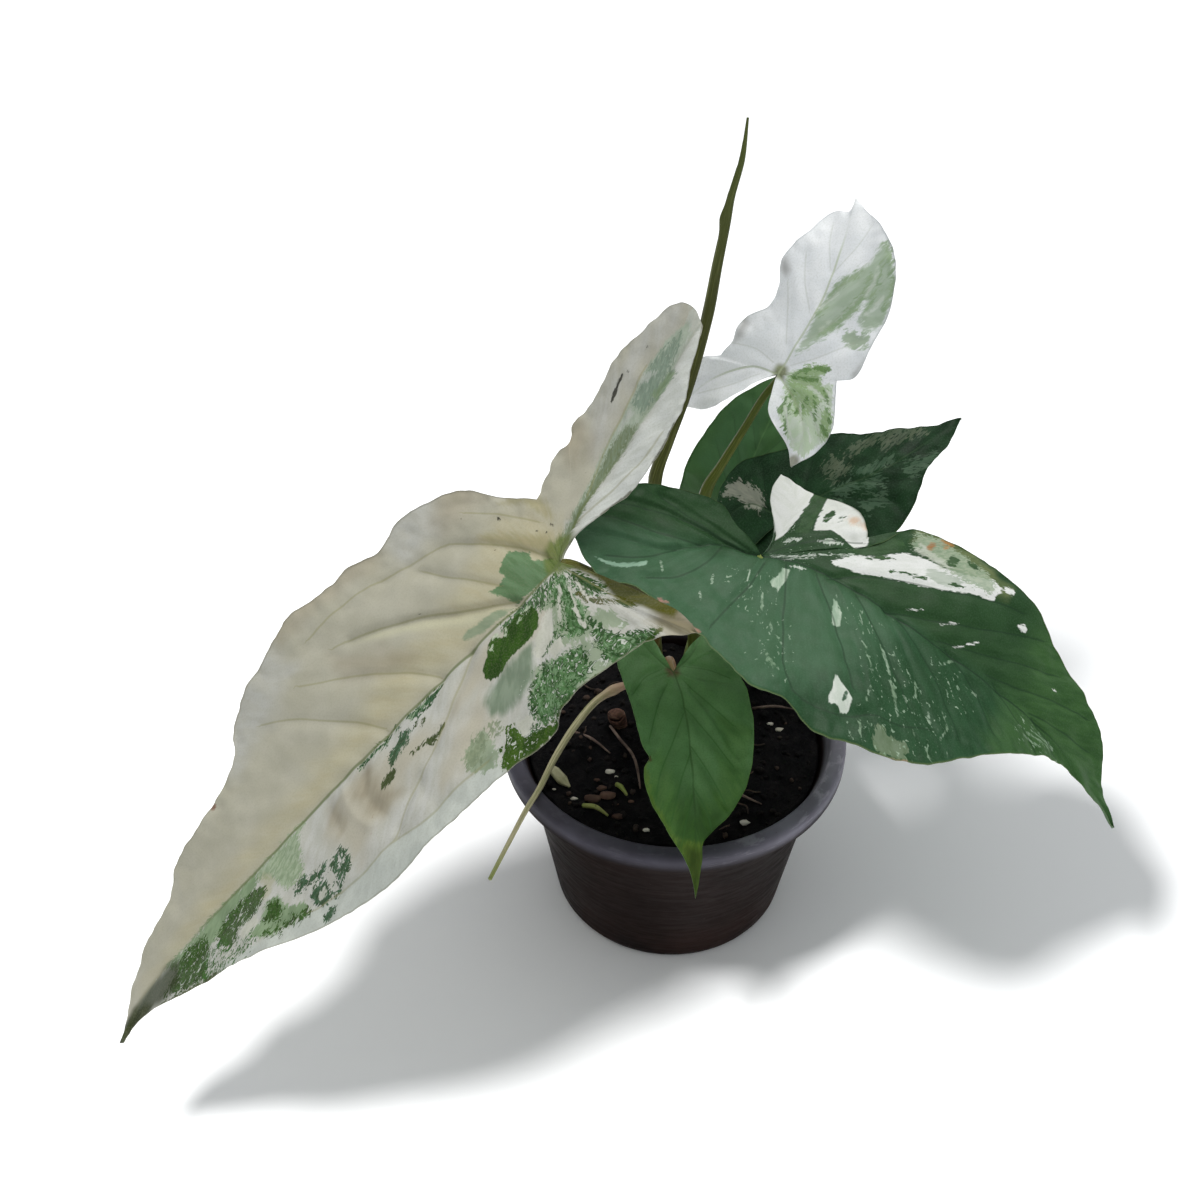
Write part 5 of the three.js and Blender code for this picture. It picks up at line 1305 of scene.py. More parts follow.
BACK = {
    "junction": [22, 80, 109], "tip": [41, 114, 163], "roll": 0, "arch": 5, "fold": 0.12,
    "columns": 28,
    "lobes": [
        {
            "rib": [[0, 0], [19.5, 3], [40, 2], [66.5, 0]],
            "left": [[7, 28.5], [19.5, 27.5], [29.5, 25.5], [43.5, 20], [55.5, 11.5],
                     [66.5, 0]],
            "right": [[10.5, -12], [32, -12.5], [42.5, -13], [58, -9], [66.5, 0]],
            "rows": 90, "waves": 2,
        },
        {
            "rib": [[0, 0], [2.5, 13], [0.5, 22.5]],
            "left": [[0, 0], [0.5, 8], [0, 14], [0.5, 22.5]],
            "right": [[7, 28.5], [2.5, 26.5], [0.5, 22.5]],
            "rows": 40, "waves": 0,
        },
        {
            "rib": [[0, 0], [2.5, -5], [3.5, -10]],
            "left": [[10.5, -12], [6, -12.5], [3.5, -10]],
            "right": [[0, 0], [2, -4.5], [3.5, -10]],
            "rows": 30, "waves": 0,
        },
    ],
    "veins": [
        [[6, 2], [16, 10], [28, 18]], [[18, 3], [30, 10], [40, 15]], [[32, 3], [42, 8],
        [50, 11]], [[8, 0], [16, -5], [24, -9]], [[24, 3], [34, -3], [42, -8]],
        [[40, 2], [48, -2], [55, -5]], [[2, 6], [5, 14], [6, 22]],
    ],
    "marks": [
        mark(("#38603a", "#345935"), [area(
            (10, 3), (50, 3), (50, 16), (20, 24))], "soft", 8, 1, 6, 0.5, 3),
    ],
    "ground": ("#2f5427", "#375d2d"), "vein_tone": "#24431f", "vein_width": 0.4,
    "vein_show": 0.4, "rib_tone": "#4a6f3c", "rib_width": 0.5, "rib_show": 0.6,
    "rim_tone": "#587542", "under_tone": "#5c7c55", "rough": 0.42, "gloss": 0.3,
    "skin_tone": "#4a6f40", "skin_show": 0.2,
    "uneven": 0.4,
    "quilt": 0.6, "quilt_width": 2.0, "ruffle": 1.0, "groove": 0.45, "ridge": 0.9,
    "crumple": 0.4,
    "seed": 18.4,
}

leaf_piece("blade_small_front", "leaf_small_front", SMALL_FRONT, "mid_leaf")
leaf_piece("blade_back_right", "leaf_back_right", BACK_RIGHT, "dark_leaf")
leaf_piece("blade_back", "leaf_back", BACK, "dark_leaf")


# --------------------------------------------------------------------------- stalks

SOIL_LEVEL = 72
HOLE_DEPTH = 14
CROWN_CENTRE = (3, 8)
STALK_FOOT_RADIUS = 2.2
STALK_SIDES = 20
STEPS_PER_SPAN = 12
WING_DIRECTION = unit((0.37, 0.61, 0.70))
BELOW_BLADE = 1.15  # from a stalk's skin to the blade's upper face, before they merge
MERGE_DEPTH = 0.5
MERGE_SHARE = 0.55
MERGE_REACH = 2.5


def foot(degrees, distance=9.5):
    """Where a stalk stands in the soil, on a ring round the crown."""
    angle = math.radians(degrees)
    return (
        CROWN_CENTRE[0] + distance * math.cos(angle),
        CROWN_CENTRE[1] + distance * math.sin(angle),
    )


def stalk_route(foot_at, rest):
    """A route that stands in the soil at its foot and goes on along the rest."""
    x, y = foot_at
    base = [
        [x, y, SOIL_LEVEL - HOLE_DEPTH + 0.5, STALK_FOOT_RADIUS],
        [x, y, SOIL_LEVEL - 3, STALK_FOOT_RADIUS],
        [x, y, SOIL_LEVEL + 3, STALK_FOOT_RADIUS],
    ]
    return base + rest


def stalk_to_leaf(foot_at, middle, leaf, top_radius):
    """A route that runs up to the junction and merges with the blade's underside."""
    junction, along, _, out, _ = blade_axes(leaf)
    below = junction - out * (BELOW_BLADE + top_radius)
    last = junction - out * (MERGE_DEPTH + MERGE_SHARE * top_radius) + along * MERGE_REACH
    ends = [[*below, top_radius], [*last, top_radius * MERGE_SHARE]]
    return stalk_route(foot_at, middle + ends)


def tube(route, sides=STALK_SIDES, steps=STEPS_PER_SPAN, section=None):
    """A closed stem along a route of [x, y, z, radius] points.

    section(angle, share, z, spoke) scales the radius, and gives ridges, folds and
    edges. The spoke is the direction that the angle points in.
    Returns its points, faces, and for each point (length so far, angle, share).
    """
    route = np.array(route, float)
    places = np.linspace(0, 1, steps * (len(route) - 1) + 1)
    centres = spline(route[:, :3], places)
    radii = np.interp(places * (len(route) - 1), np.arange(len(route)), route[:, 3])
    runs = np.concatenate([[0], np.cumsum(np.linalg.norm(np.diff(centres, axis=0), axis=1))])
    across = np.array([1.0, 0.0, 0.0])
    points, notes, faces = [], [], []
    for k, centre in enumerate(centres):
        ahead = centres[min(k + 1, len(centres) - 1)] - centres[max(k - 1, 0)]
        along = unit(ahead)
        across = unit(across - along * (across @ along))
        third = np.cross(along, across)
        for side in range(sides):
            angle = 2 * math.pi * side / sides
            spoke = across * math.cos(angle) + third * math.sin(angle)
            scale = section(angle, places[k], centre[2], spoke) if section else 1.0
            points.append(centre + spoke * radii[k] * scale)
            notes.append((runs[k], angle, places[k]))
    top = (len(centres) - 1) * sides
    for start in range(0, top, sides):
        faces += band(start, sides)
    points += [centres[0], centres[-1]]
    notes += [(0, 0, 0), (runs[-1], 0, 1)]
    low, high = len(points) - 2, len(points) - 1
    for side in range(sides):
        after = (side + 1) % sides
        faces.append([low, after, side])
        faces.append([high, top + side, top + after])
    return points, faces, notes


def stem_piece(name, node, route, material, slot, section=None, sides=STALK_SIDES):
    points, faces, notes = tube(route, sides=sides, section=section)
    piece = make_piece(name, points, faces, material, slot, [node])
    notes = np.array(notes)
    ring = np.column_stack([notes[:, 0], np.cos(notes[:, 1]), np.sin(notes[:, 1])])
    add_attribute(piece, "length", ring)
    add_attribute(piece, "share", notes[:, 2])
    return piece


def ribbed(angle, share, z, spoke):
    """Fine lengthwise ridges, and a shallow channel up one side."""
    channel = 0.16 * math.exp(-((angle - math.pi) / 0.45) ** 2)
    return 1.0 - channel + 0.02 * math.cos(7 * angle)


def sheathed(top_of_sheath):
    """A stalk whose lower part is wrapped in a sheath with a raised edge."""
    def section(angle, share, z, spoke):
        wrap = 1 / (1 + math.exp((z - top_of_sheath) / 2.0))
        edge = math.exp(-((angle - 1.2) / 0.28) ** 2)
        return ribbed(angle, share, z, spoke) + wrap * (0.06 + 0.3 * edge)
    return section


def winged(top_of_sheath, low, high, reach):
    """A sheathed stalk whose sheath goes on as two thin wings between two heights."""
    plain = sheathed(top_of_sheath)

    def section(angle, share, z, spoke):
        open_part = 1 / (1 + math.exp((low - z) / 3)) / (1 + math.exp((z - high) / 3))
        wing = abs(spoke @ WING_DIRECTION) ** 8
        return plain(angle, share, z, spoke) + reach * open_part * wing
    return section


def stalk_material(name, low, middle, high, streak):
    """Colour that changes up the stalk, with lengthwise streaks and a satin skin."""
    s = Shader("finish_" + name, specular=0.15)
    length = s.attribute("length")
    share = s.attribute("share", scalar=True)
    base = s.mix(s.ramp(share, 0.15, 0.5), low, middle)
    base = s.mix(s.ramp(share, 0.55, 0.95), base, high)
    lines = s.noise(s.scaled(length, (0.05, 3.0, 3.0)), 1.0, 3.0, 0.6)
    base = s.mix(s.ramp(lines, 0.5, 0.72, 0.0, 0.75), base, streak)
    dots = s.noise(s.scaled(length, (1.2, 3.0, 3.0)), 1.0, 3.0, 0.6)
    base = s.mix(s.ramp(dots, 0.6, 0.75, 0.0, 0.4), base, "#5a4a2c")
    normal = s.bump(s.math("ADD", lines, s.math("MULTIPLY", dots, 0.4)), 0.5, 0.25)
    return s.finish(base, s.ramp(dots, 0.3, 0.7, 0.38, 0.55), normal)


STALKS = {
    "front_left": (
        stalk_to_leaf(foot(200), [
            [-9, 5.5, 110, 2.2], [-7.2, -0.8, 138.5, 2], [-14.5, -8, 148.5, 2],
            [-20, -14, 157, 1.9], [-26, -20, 165, 1.8],
        ], FRONT_LEFT, 1.6),
        winged(128, 114, 160, 1.5), ("#5b4a2c", "#4f4b1c", "#55551f", "#77743f"),
    ),
    "upper_right": (
        stalk_to_leaf(foot(55), [
            [5, 19, 120, 2.4], [7, 22, 169.5, 2.1], [11.5, 24, 179, 1.6],
            [18.5, 26, 193, 1.35], [24, 28, 204, 1.3],
        ], UPPER_RIGHT, 1.2),
        sheathed(172), ("#47501a", "#4c561e", "#434f1c", "#6c7236"),
    ),
    "right": (
        stalk_to_leaf(foot(-40), [[13, 3, 112, 2.1], [20, 1, 148, 1.9]], RIGHT, 1.6),
        sheathed(118), ("#6d5a3a", "#6a7438", "#7e8c46", "#9aa060"),
    ),
    "small_front": (
        stalk_to_leaf(foot(-100), [
            [-0.5, 0, 98, 2], [-2.5, -2, 113, 1.9], [-3, -7, 117, 1.8],
        ], SMALL_FRONT, 1.5),
        sheathed(96), ("#7a5a48", "#8a6a50", "#8c7a50", "#a98f70"),
    ),
    "back_right": (
        stalk_to_leaf(foot(10), [[20, 26, 104, 2]], BACK_RIGHT, 1.5),
        sheathed(100), ("#665a38", "#66703a", "#76844a", "#92985c"),
    ),
    "back": (
        stalk_to_leaf(foot(100), [[7, 42, 92, 2]], BACK, 1.4),
        sheathed(88), ("#665a38", "#5f6d38", "#6f8048", "#92985c"),
    ),
}

for name, (route, section, tones) in STALKS.items():
    stem_piece("petiole_" + name, "stalk_" + name, route,
               stalk_material("petiole_" + name, *tones), "stalk", section)


# -------------------------------------------------- new leaf, dried stalk, old stems

NEW_LEAF_ROLL_START = 172
NEW_LEAF_ROLL_GROWTH = 14  # the height over which the roll opens
NEW_LEAF_TWIST = 0.021  # radians per millimetre
NEW_LEAF_FLAG_HEIGHT = 262  # where the roll's free edge stands out


def rolled(angle, share, z, spoke):
    """The spiral section of a leaf that is still rolled up, over a sheathed stalk."""
    if z < NEW_LEAF_ROLL_START:
        return sheathed(NEW_LEAF_ROLL_START - 4)(angle, share, z, spoke)
    twist = 1.4 + (z - NEW_LEAF_ROLL_START) * NEW_LEAF_TWIST
    turned = ((angle - twist) / (2 * math.pi)) % 1.0
    grow = min((z - NEW_LEAF_ROLL_START) / NEW_LEAF_ROLL_GROWTH, 1.0)
    height = (z - NEW_LEAF_FLAG_HEIGHT) / 3.5
    flag = 0.8 * math.exp(-height ** 2 - ((turned - 0.04) / 0.06) ** 2)
    return 1.0 + grow * (0.12 - 0.42 * turned ** 1.6) + flag


NEW_LEAF = stalk_route(foot(150), [
    [-10.5, 19, 130, 2.5], [-10, 22, 174.5, 2.4], [-5.5, 25, 188.5, 1.7], [0, 29, 206.5, 1.6],
    [5, 33, 231.5, 1.85], [7, 35, 247, 1.6], [9, 37, 260.5, 1.35], [10, 38, 268.5, 1.2],
    [12.5, 40, 279.5, 1], [13.5, 42, 291.5, 0.4],
])


def flattened(angle, share, z, spoke):
    """A withered stalk: shrunk on two sides, with folds that change along it."""
    flat = 1.0 - 0.32 * abs(math.sin(angle + 0.6))
    folds = 0.07 * math.cos(5 * angle + 6 * share) + 0.04 * math.cos(9 * angle - 11 * share)
    kink = 0.3 * math.exp(-((share - 0.42) / 0.018) ** 2)
    return flat + folds + kink


DRIED_STALK = stalk_route(foot(225, 15), [
    [-11, -1, 90, 2.1], [-15.5, 0, 99, 2], [-26.5, -5.5, 97.5, 1.9], [-35, -15.5, 92.5, 1.8],
    [-41, -25.5, 87, 1.6], [-45.5, -36, 82.2, 1.4], [-49.5, -44.5, 79.8, 1.3],
    [-54, -56.5, 77, 1.1], [-59, -70.5, 74, 0.9],
])


def dried_material():
    """Pale dry skin with lengthwise streaks, reddish low down and green at its end."""
    s = Shader("finish_dried_stalk", specular=0.25)
    length = s.attribute("length")
    share = s.attribute("share", scalar=True)
    lines = s.noise(s.scaled(length, (0.035, 2.4, 2.4)), 1.0, 3.0, 0.65)
    fine = s.noise(s.scaled(length, (0.3, 5.0, 5.0)), 1.0, 4.0, 0.6)
    base = s.mix(s.ramp(lines, 0.42, 0.62), "#bfb795", "#8e8f66")
    base = s.mix(s.ramp(fine, 0.55, 0.75, 0.0, 0.6), base, "#d2cbb0")
    base = s.mix(s.ramp(share, 0.36, 0.5, 0.85, 0.0), base, "#ae8478")
    base = s.mix(s.ramp(share, 0.9, 1.0), base, "#8a9358")
    normal = s.bump(s.math("ADD", lines, fine), 0.7, 0.3)
    return s.finish(base, s.ramp(fine, 0.3, 0.7, 0.6, 0.8), normal)


stem_piece("rolled_leaf", "new_leaf", NEW_LEAF,
           stalk_material("rolled_leaf", "#474c18", "#454920", "#4c5528", "#6d7240"),
           "stalk", rolled, sides=40)
stem_piece("withered_stalk", "dried_stalk", DRIED_STALK, dried_material(), "dry_stalk", flattened)


def bark_material():
    """Brown bark of two tones, with paler rings."""
    s = Shader("finish_woody_stem", specular=0.25)
    place = s.place()
    rings = s.noise(s.scaled(place, (120.0, 120.0, 900.0)), 1.0, 3.0, 0.6)
    grain = s.noise(place, 700.0, 4.0, 0.65)
    base = s.mix(s.ramp(grain, 0.4, 0.65), "#4a342c", "#6e5044")
    base = s.mix(s.ramp(rings, 0.55, 0.68, 0.0, 0.8), base, "#8a7262")
    normal = s.bump(s.math("ADD", rings, grain), 0.8, 0.5)
    return s.finish(base, s.ramp(grain, 0.3, 0.7, 0.7, 0.95), normal)


BARK = bark_material()


def knobbly(seed, amount):
    """A woody stem's lumps and the rings round it."""
    def section(angle, share, z, spoke):
        at = Vector((math.cos(angle) * 1.3, math.sin(angle) * 1.3, z * 0.45 + seed))
        rings = 0.05 * math.cos(z * 2.1)
        return 1 + amount * noise.noise(at) + rings
    return section


CROWN_RADII = [(58.5, 4.4), (70, 4.4), (74, 4.3), (78, 4.2), (81, 3.6), (83, 2.6), (84, 1.2)]
stem_piece("crown", "crown_stem", [[*CROWN_CENTRE, z, radius] for z, radius in CROWN_RADII],
           BARK, "woody_stem", knobbly(3.0, 0.16), sides=36)
stem_piece("stub", "old_stem_stub", [
    [-19.5, 13, 59, 3.2], [-20.2, 10.5, 66, 3.2], [-20.9, 7.8, 73, 3.1], [-21.4, 5.8, 77.6, 3.1],
    [-21.5, 5.5, 78.3, 2.6], [-21.45, 5.6, 77.9, 1.4],
], BARK, "woody_stem", knobbly(8.0, 0.2), sides=32)


# ------------------------------------------------------------------------------ pot

POT_SEGMENTS = 144
DRAIN_HOLES = 6
DRAIN_RADIUS = 4
DRAIN_SIDES = 32
DRAIN_RING_RADIUS = 27
OUTER_WALL = [
    (40.7, 0), (42.0, 0.25), (43.4, 1.4), (44.2, 3.0), (44.5, 4.8), (45.6, 12), (46.7, 19),
    (48.7, 32), (50.7, 44), (52.6, 56), (53.8, 63.5), (54.9, 70.5), (55.6, 73.6),
]
LIP = [
    (56.2, 76), (58.5, 76.1), (60.8, 76), (60.95, 73.6), (61, 72.3), (61.3, 72.0),
    (61.9, 72.0), (62.3, 72.3), (62.45, 73.0), (62.5, 73.8), (62.5, 75.5), (62.5, 77.6),
    (62.3, 78.5), (61.7, 79.3), (60.9, 79.8), (60, 80), (59.2, 80.05), (58.3, 79.98),
    (57.5, 79.7), (56.9, 79.2), (56.5, 78.5), (56.3, 77.8), (55.2, 74.8),
]
INNER_WALL = [
    (53.5, 70.5), (52.9, 66.5), (51.2, 56), (49.3, 44), (47.3, 32), (45.1, 18.5), (43.4, 7.5),
    (43, 5), (42.5, 3.3), (41.6, 2.2),
]
FLOOR_HEIGHT = 2.2
FLOOR_RADII = (0.01, 12, 21, 33)
POT_HEIGHT = 80
OUT_OF_ROUND = 0.18
SHARP_ANGLE = 38


def lathe(profile, segments, wobble=None):
    """Points and faces of a profile turned about Z, its two ends on the axis."""
    points, faces = [], []
    for radius, z in profile:
        for k in range(segments):
            angle = 2 * math.pi * k / segments
            r = radius + (wobble(angle, z) if wobble else 0)
            points.append((r * math.cos(angle), r * math.sin(angle), z))
    for row in range(len(profile) - 1):
        faces += band(row * segments, segments)
    return points, faces


def pot_material():
    """Black plastic, browner low down, with a greyer lip; the lip is lighter and scuffed on its +X
    side, partly wear and partly painted light, and darker low on its rolled rim, which is painted
    shade.
    """
    s = Shader("finish_pot_plastic", specular=0.05)
    place = s.place()
    x, _, z = s.split(place)
    haze = s.noise(place, 28.0, 4.0, 0.6)
    fine = s.noise(place, 420.0, 3.0, 0.7)
    bands = s.noise(s.scaled(place, (6.0, 6.0, 260.0)), 1.0, 3.0, 0.6)
    scuffs = s.noise(s.scaled(place, (90.0, 90.0, 700.0)), 1.0, 4.0, 0.7)
    base = s.mix(s.ramp(haze, 0.35, 0.65), "#140b09", "#1b110f")
    base = s.mix(s.ramp(bands, 0.48, 0.66, 0.0, 0.25), base, "#251b19")
    low = s.ramp(z, 0.0, 0.03, 0.55, 0.0)
    base = s.mix(s.math("MULTIPLY", low, s.ramp(haze, 0.3, 0.7)), base, "#35211c")
    # the lip's grey fades out towards its lower side: painted shade under the rolled rim
    lip = s.ramp(z, 0.0722, 0.0772)
    # lighter towards +X: painted light on the lit side, which is also where the scuffs gather
    wear_and_lit_side = s.ramp(x, -0.01, 0.062, 0.1, 0.8)
    bloom = s.ramp(haze, 0.36, 0.64, 0.7, 1.0)
    base = s.mix(s.math("MULTIPLY", lip, bloom), base, s.mix(wear_and_lit_side, "#3f3e48", "#8a8894"))
    dust = s.math("MULTIPLY", s.ramp(scuffs, 0.52, 0.66), wear_and_lit_side)
    base = s.mix(s.math("MULTIPLY", s.math("MULTIPLY", lip, dust), 0.42), base, "#b3b1ba")
    base = s.mix(s.ramp(fine, 0.68, 0.76, 0.0, 0.4), base, "#4a403c")
    normal = s.bump(s.math("ADD", s.math("MULTIPLY", bands, 0.1), fine), 0.2, 0.1)
    return s.finish(base, s.ramp(scuffs, 0.35, 0.65, 0.42, 0.62), normal)


def pot_piece():
    """The pot as one turned shell, its drain holes cut by a boolean that is applied."""
    profile = [(r, 0) for r in FLOOR_RADII] + OUTER_WALL + LIP + INNER_WALL
    profile += [(r, FLOOR_HEIGHT) for r in FLOOR_RADII[::-1]]

    def out_of_round(angle, z):
        return OUT_OF_ROUND * math.sin(2 * angle + 0.7) * (z / POT_HEIGHT) ** 2

    points, faces = lathe(profile, POT_SEGMENTS, out_of_round)
    faces.append(cap(0, POT_SEGMENTS, reverse=True))
    faces.append(cap((len(profile) - 1) * POT_SEGMENTS, POT_SEGMENTS))
    piece = make_piece("pot_shell", points, faces, pot_material(), "pot_plastic", ["pot"])
    drill_points, drill_faces = [], []
    for middle_x, middle_y in ring_points(DRAIN_RING_RADIUS, DRAIN_HOLES):
        start = len(drill_points)
        for z in (-3, FLOOR_HEIGHT + 3):
            drill_points += [(middle_x + x, middle_y + y, z)
                             for x, y in ring_points(DRAIN_RADIUS, DRAIN_SIDES)]
        drill_faces += band(start, DRAIN_SIDES)
        drill_faces.append(cap(start, DRAIN_SIDES, reverse=True))
        drill_faces.append(cap(start + DRAIN_SIDES, DRAIN_SIDES))
    drill = new_object("drill", new_mesh("drill", drill_points, drill_faces))
    cut = piece.modifiers.new("drain_holes", "BOOLEAN")
    cut.object = drill
    cut.operation = "DIFFERENCE"
    cut.solver = "EXACT"
    bpy.context.view_layer.update()
    whole = piece.evaluated_get(bpy.context.evaluated_depsgraph_get())
    piece.data = bpy.data.meshes.new_from_object(whole)
    piece.modifiers.clear()
    bpy.data.objects.remove(drill)
    piece.data.set_sharp_from_angle(angle=math.radians(SHARP_ANGLE))
    return piece


pot_piece()


# ----------------------------------------------------------------------------- soil

SOIL_GAP = 0.35
SOIL_RINGS = 110
SOIL_SEGMENTS = 200
GRAIN_REACH = 51
TWIG_REACH = 46
TWIG_LIMIT = 50  # no part of a random twig lies further out
TWIG_STEPS = 4


def soil_height(x, y):
    """The packed soil's low heaps, with clods and grains on them."""
    heap = 0.9 * math.sin(x * 0.17 + 1) * math.cos(y * 0.15)
    heap += 0.5 * math.sin(x * 0.37 - y * 0.31)
    clods = 1.6 * noise.noise(Vector((x * 0.22, y * 0.22, 5.0)))
    lumps = 1.0 * abs(noise.noise(Vector((x * 0.55, y * 0.55, 9.0))))
    grains = 0.45 * noise.noise(Vector((x * 1.4, y * 1.4, 2.0)))
    return SOIL_LEVEL + heap + clods + lumps + grains


def soil_material(name, dark, light, chips):
    """Clods of two tones, with grains of a third."""
    s = Shader("finish_" + name, specular=0.12)
    place = s.place()
    clods = s.noise(place, 160.0, 5.0, 0.65)
    grains = s.noise(place, 900.0, 4.0, 0.7)
    base = s.mix(s.ramp(clods, 0.4, 0.65), dark, light)
    base = s.mix(s.ramp(grains, 0.62, 0.74, 0.0, 0.8), base, chips)
    normal = s.bump(s.math("ADD", clods, s.math("MULTIPLY", grains, 0.7)), 0.9, 1.2)
    return s.finish(base, s.ramp(grains, 0.3, 0.7, 0.8, 1.0), normal)


def soil_piece():
    """The packed soil: the pot's inside as its wall, and rings of uneven ground on top."""
    rings, segments = SOIL_RINGS, SOIL_SEGMENTS
    wall = [(r - SOIL_GAP, z + SOIL_GAP) for r, z in INNER_WALL[::-1]]
    profile = [(FLOOR_RADII[0], FLOOR_HEIGHT + SOIL_GAP)] + wall
    points, faces = lathe(profile, segments)
    top_radius = wall[-1][0]
    for ring in range(rings):
        faces += band(len(points) - segments, segments)
        radius = max(top_radius * (1 - (ring + 1) / rings), 0.02)
        points += [(x, y, soil_height(x, y)) for x, y in ring_points(radius, segments)]
    faces.append(cap(len(points) - segments, segments))
    faces.append(cap(0, segments, reverse=True))
    finish = soil_material("soil", "#08080a", "#141213", "#2a2420")
    return make_piece("soil_bed", points, faces, finish, "soil", ["soil"])


def lump(centre, size, seed):
    """A small rough grain: an icosahedron with its edges split once, knocked about."""
    gold = (1 + 5 ** 0.5) / 2
    corners = [(-1, gold, 0), (1, gold, 0), (-1, -gold, 0), (1, -gold, 0), (0, -1, gold),
               (0, 1, gold), (0, -1, -gold), (0, 1, -gold), (gold, 0, -1), (gold, 0, 1),
               (-gold, 0, -1), (-gold, 0, 1)]
    sides = [(0, 11, 5), (0, 5, 1), (0, 1, 7), (0, 7, 10), (0, 10, 11), (1, 5, 9),
             (5, 11, 4), (11, 10, 2), (10, 7, 6), (7, 1, 8), (3, 9, 4), (3, 4, 2), (3, 2, 6),
             (3, 6, 8), (3, 8, 9), (4, 9, 5), (2, 4, 11), (6, 2, 10), (8, 6, 7), (9, 8, 1)]
    corners = [unit(c) for c in corners]
    faces, middles = [], {}

    def middle(a, b):
        key = (min(a, b), max(a, b))
        if key not in middles:
            middles[key] = len(corners)
            corners.append(unit(corners[a] + corners[b]))
        return middles[key]

    for a, b, c in sides:
        ab, bc, ca = middle(a, b), middle(b, c), middle(c, a)
        faces += [[a, ab, ca], [b, bc, ab], [c, ca, bc], [ab, bc, ca]]
    stretch = np.array(size, float)
    points = []
    for corner in corners:
        rough = 1 + 0.45 * noise.noise(Vector(corner * 1.6) + Vector((seed, seed * 2, 0)))
        points.append(np.array(centre) + corner * stretch * rough)
    return points, faces


def gather(parts):
    """Joins several lots of points and faces into one."""
    points, faces = [], []
    for more_points, more_faces in parts:
        start = len(points)
        points += [tuple(p) for p in more_points]
        faces += [[start + k for k in face] for face in more_faces]
    return points, faces


def on_soil(x, y, above):
    return (x, y, soil_height(x, y) + above)


def random_place(reach):
    """A random place within that distance of the pot's axis."""
    radius, angle = reach * math.sqrt(chance.random()), 2 * math.pi * chance.random()
    return radius * math.cos(angle), radius * math.sin(angle)


def scatter(count, small, large, raised):
    """Grains strewn over the soil, away from its edge."""
    parts = []
    for number in range(count):
        x, y = random_place(GRAIN_REACH)
        size = small + (large - small) * chance.random() ** 2
        flat = [size * chance.uniform(0.7, 1.2) for _ in range(2)] + [size * 0.75]
        parts.append(lump(on_soil(x, y, size * raised), flat, number * 1.37))
    return gather(parts)


def twig_parts(paths, radius):
    """Thin bent twigs and roots that lie on the soil; each path is [x, y, height]."""
    parts = []
    for path in paths:
        route = [[x, y, soil_height(x, y) + up, radius] for x, y, up in path]
        route[-1][3] = radius * 0.5
        parts.append(tube(route, sides=8, steps=6)[:2])
    return gather(parts)


def random_twigs(count, length):
    """Paths for twigs that bend a little at each step."""
    paths = []
    for _ in range(count):
        x, y = random_place(TWIG_REACH)
        turn, reach = 2 * math.pi * chance.random(), length * chance.uniform(0.6, 1.3)
        path = []
        for _ in range(TWIG_STEPS):
            path.append((x, y, 0.4 + 0.9 * chance.random()))
            turn += chance.uniform(-0.5, 0.5)
            x += reach / TWIG_STEPS * math.cos(turn)
            y += reach / TWIG_STEPS * math.sin(turn)
        if max(math.hypot(a, b) for a, b, _ in path) < TWIG_LIMIT:
            paths.append(path)
    return paths


def bits_material(name, first, second, rough):
    """Two tones in patches, with brown spots."""
    s = Shader("finish_" + name, specular=0.3)
    place = s.place()
    spots = s.noise(place, 600.0, 4.0, 0.65)
    patches = s.noise(place, 120.0, 2.0, 0.5)
    base = s.mix(s.ramp(patches, 0.4, 0.6), first, second)
    base = s.mix(s.ramp(spots, 0.58, 0.75, 0.0, 0.7), base, "#4a3a2c")
    normal = s.bump(spots, 0.6, 0.3)
    return s.finish(base, s.ramp(spots, 0.3, 0.7, rough - 0.1, rough + 0.1), normal)


def strewn(places, size):
    """Lumps of about one size at chosen places on the soil."""
    parts = []
    for number, (x, y) in enumerate(places):
        size_here = size * (0.6 + 0.5 * (number % 3))
        sizes = (size_here * 1.3, size_here * 0.75, size_here * 0.5)
        parts.append(lump(on_soil(x, y, size_here * 0.3), sizes, 40 + 2.3 * number))
    return gather(parts)


def fallen_leaf_parts():
    """A small dry leaf that lies on the soil, curled along its length."""
    def flat(angle, share, z, spoke):
        return 0.25 + 0.75 * abs(math.cos(angle)) ** 0.7

    path = [(-44, -17.5, 1.2, 0.3), (-42, -20, 1.8, 1.9), (-39, -23, 2.0, 2.1),
            (-36, -26.5, 1.2, 0.4)]
    route = [[x, y, soil_height(x, y) + up, wide] for x, y, up, wide in path]
    return tube(route, sides=12, steps=6, section=flat)[:2]


PERLITE = [(-41.6, -27), (-34, -32), (-22.2, -17.8), (-19.8, -20), (35.6, 10.5), (39.3, 8.2),
           (6, -40), (-8, -44), (26, -38)]
BARK_LUMPS = [(-26.7, -21.6), (-24.4, -25.5), (-22.2, -29.4), (-19.4, -33), (-18.5, -37.6),
              (-27.5, -31), (-14, -31)]
ROOTS = [
    [(-23.6, 3.8, 1.5), (-19.5, -3.7, 2.6), (-14.7, -10.9, 3.2), (-12.5, -18, 2.2),
     (-11, -25.3, 0.9)],
    [(-36.4, 0.3, 0.8), (-29.8, -2.9, 1.6), (-22.8, -9, 0.8)],
    [(29, 18, 0.8), (37.6, 19.1, 1.6), (45.1, 19.1, 1.2)],
    [(16, -20, 0.8), (24, -26, 1.3), (32, -30, 0.8)],
]
SHOOTS = [
    [(-30.5, -35, 1.0), (-26, -37.4, 2.0), (-21.6, -38.2, 0.9)],
    [(-19.3, -24.9, 1.0), (-17.5, -27.6, 2.4), (-15.4, -29.9, 1.2)],
]

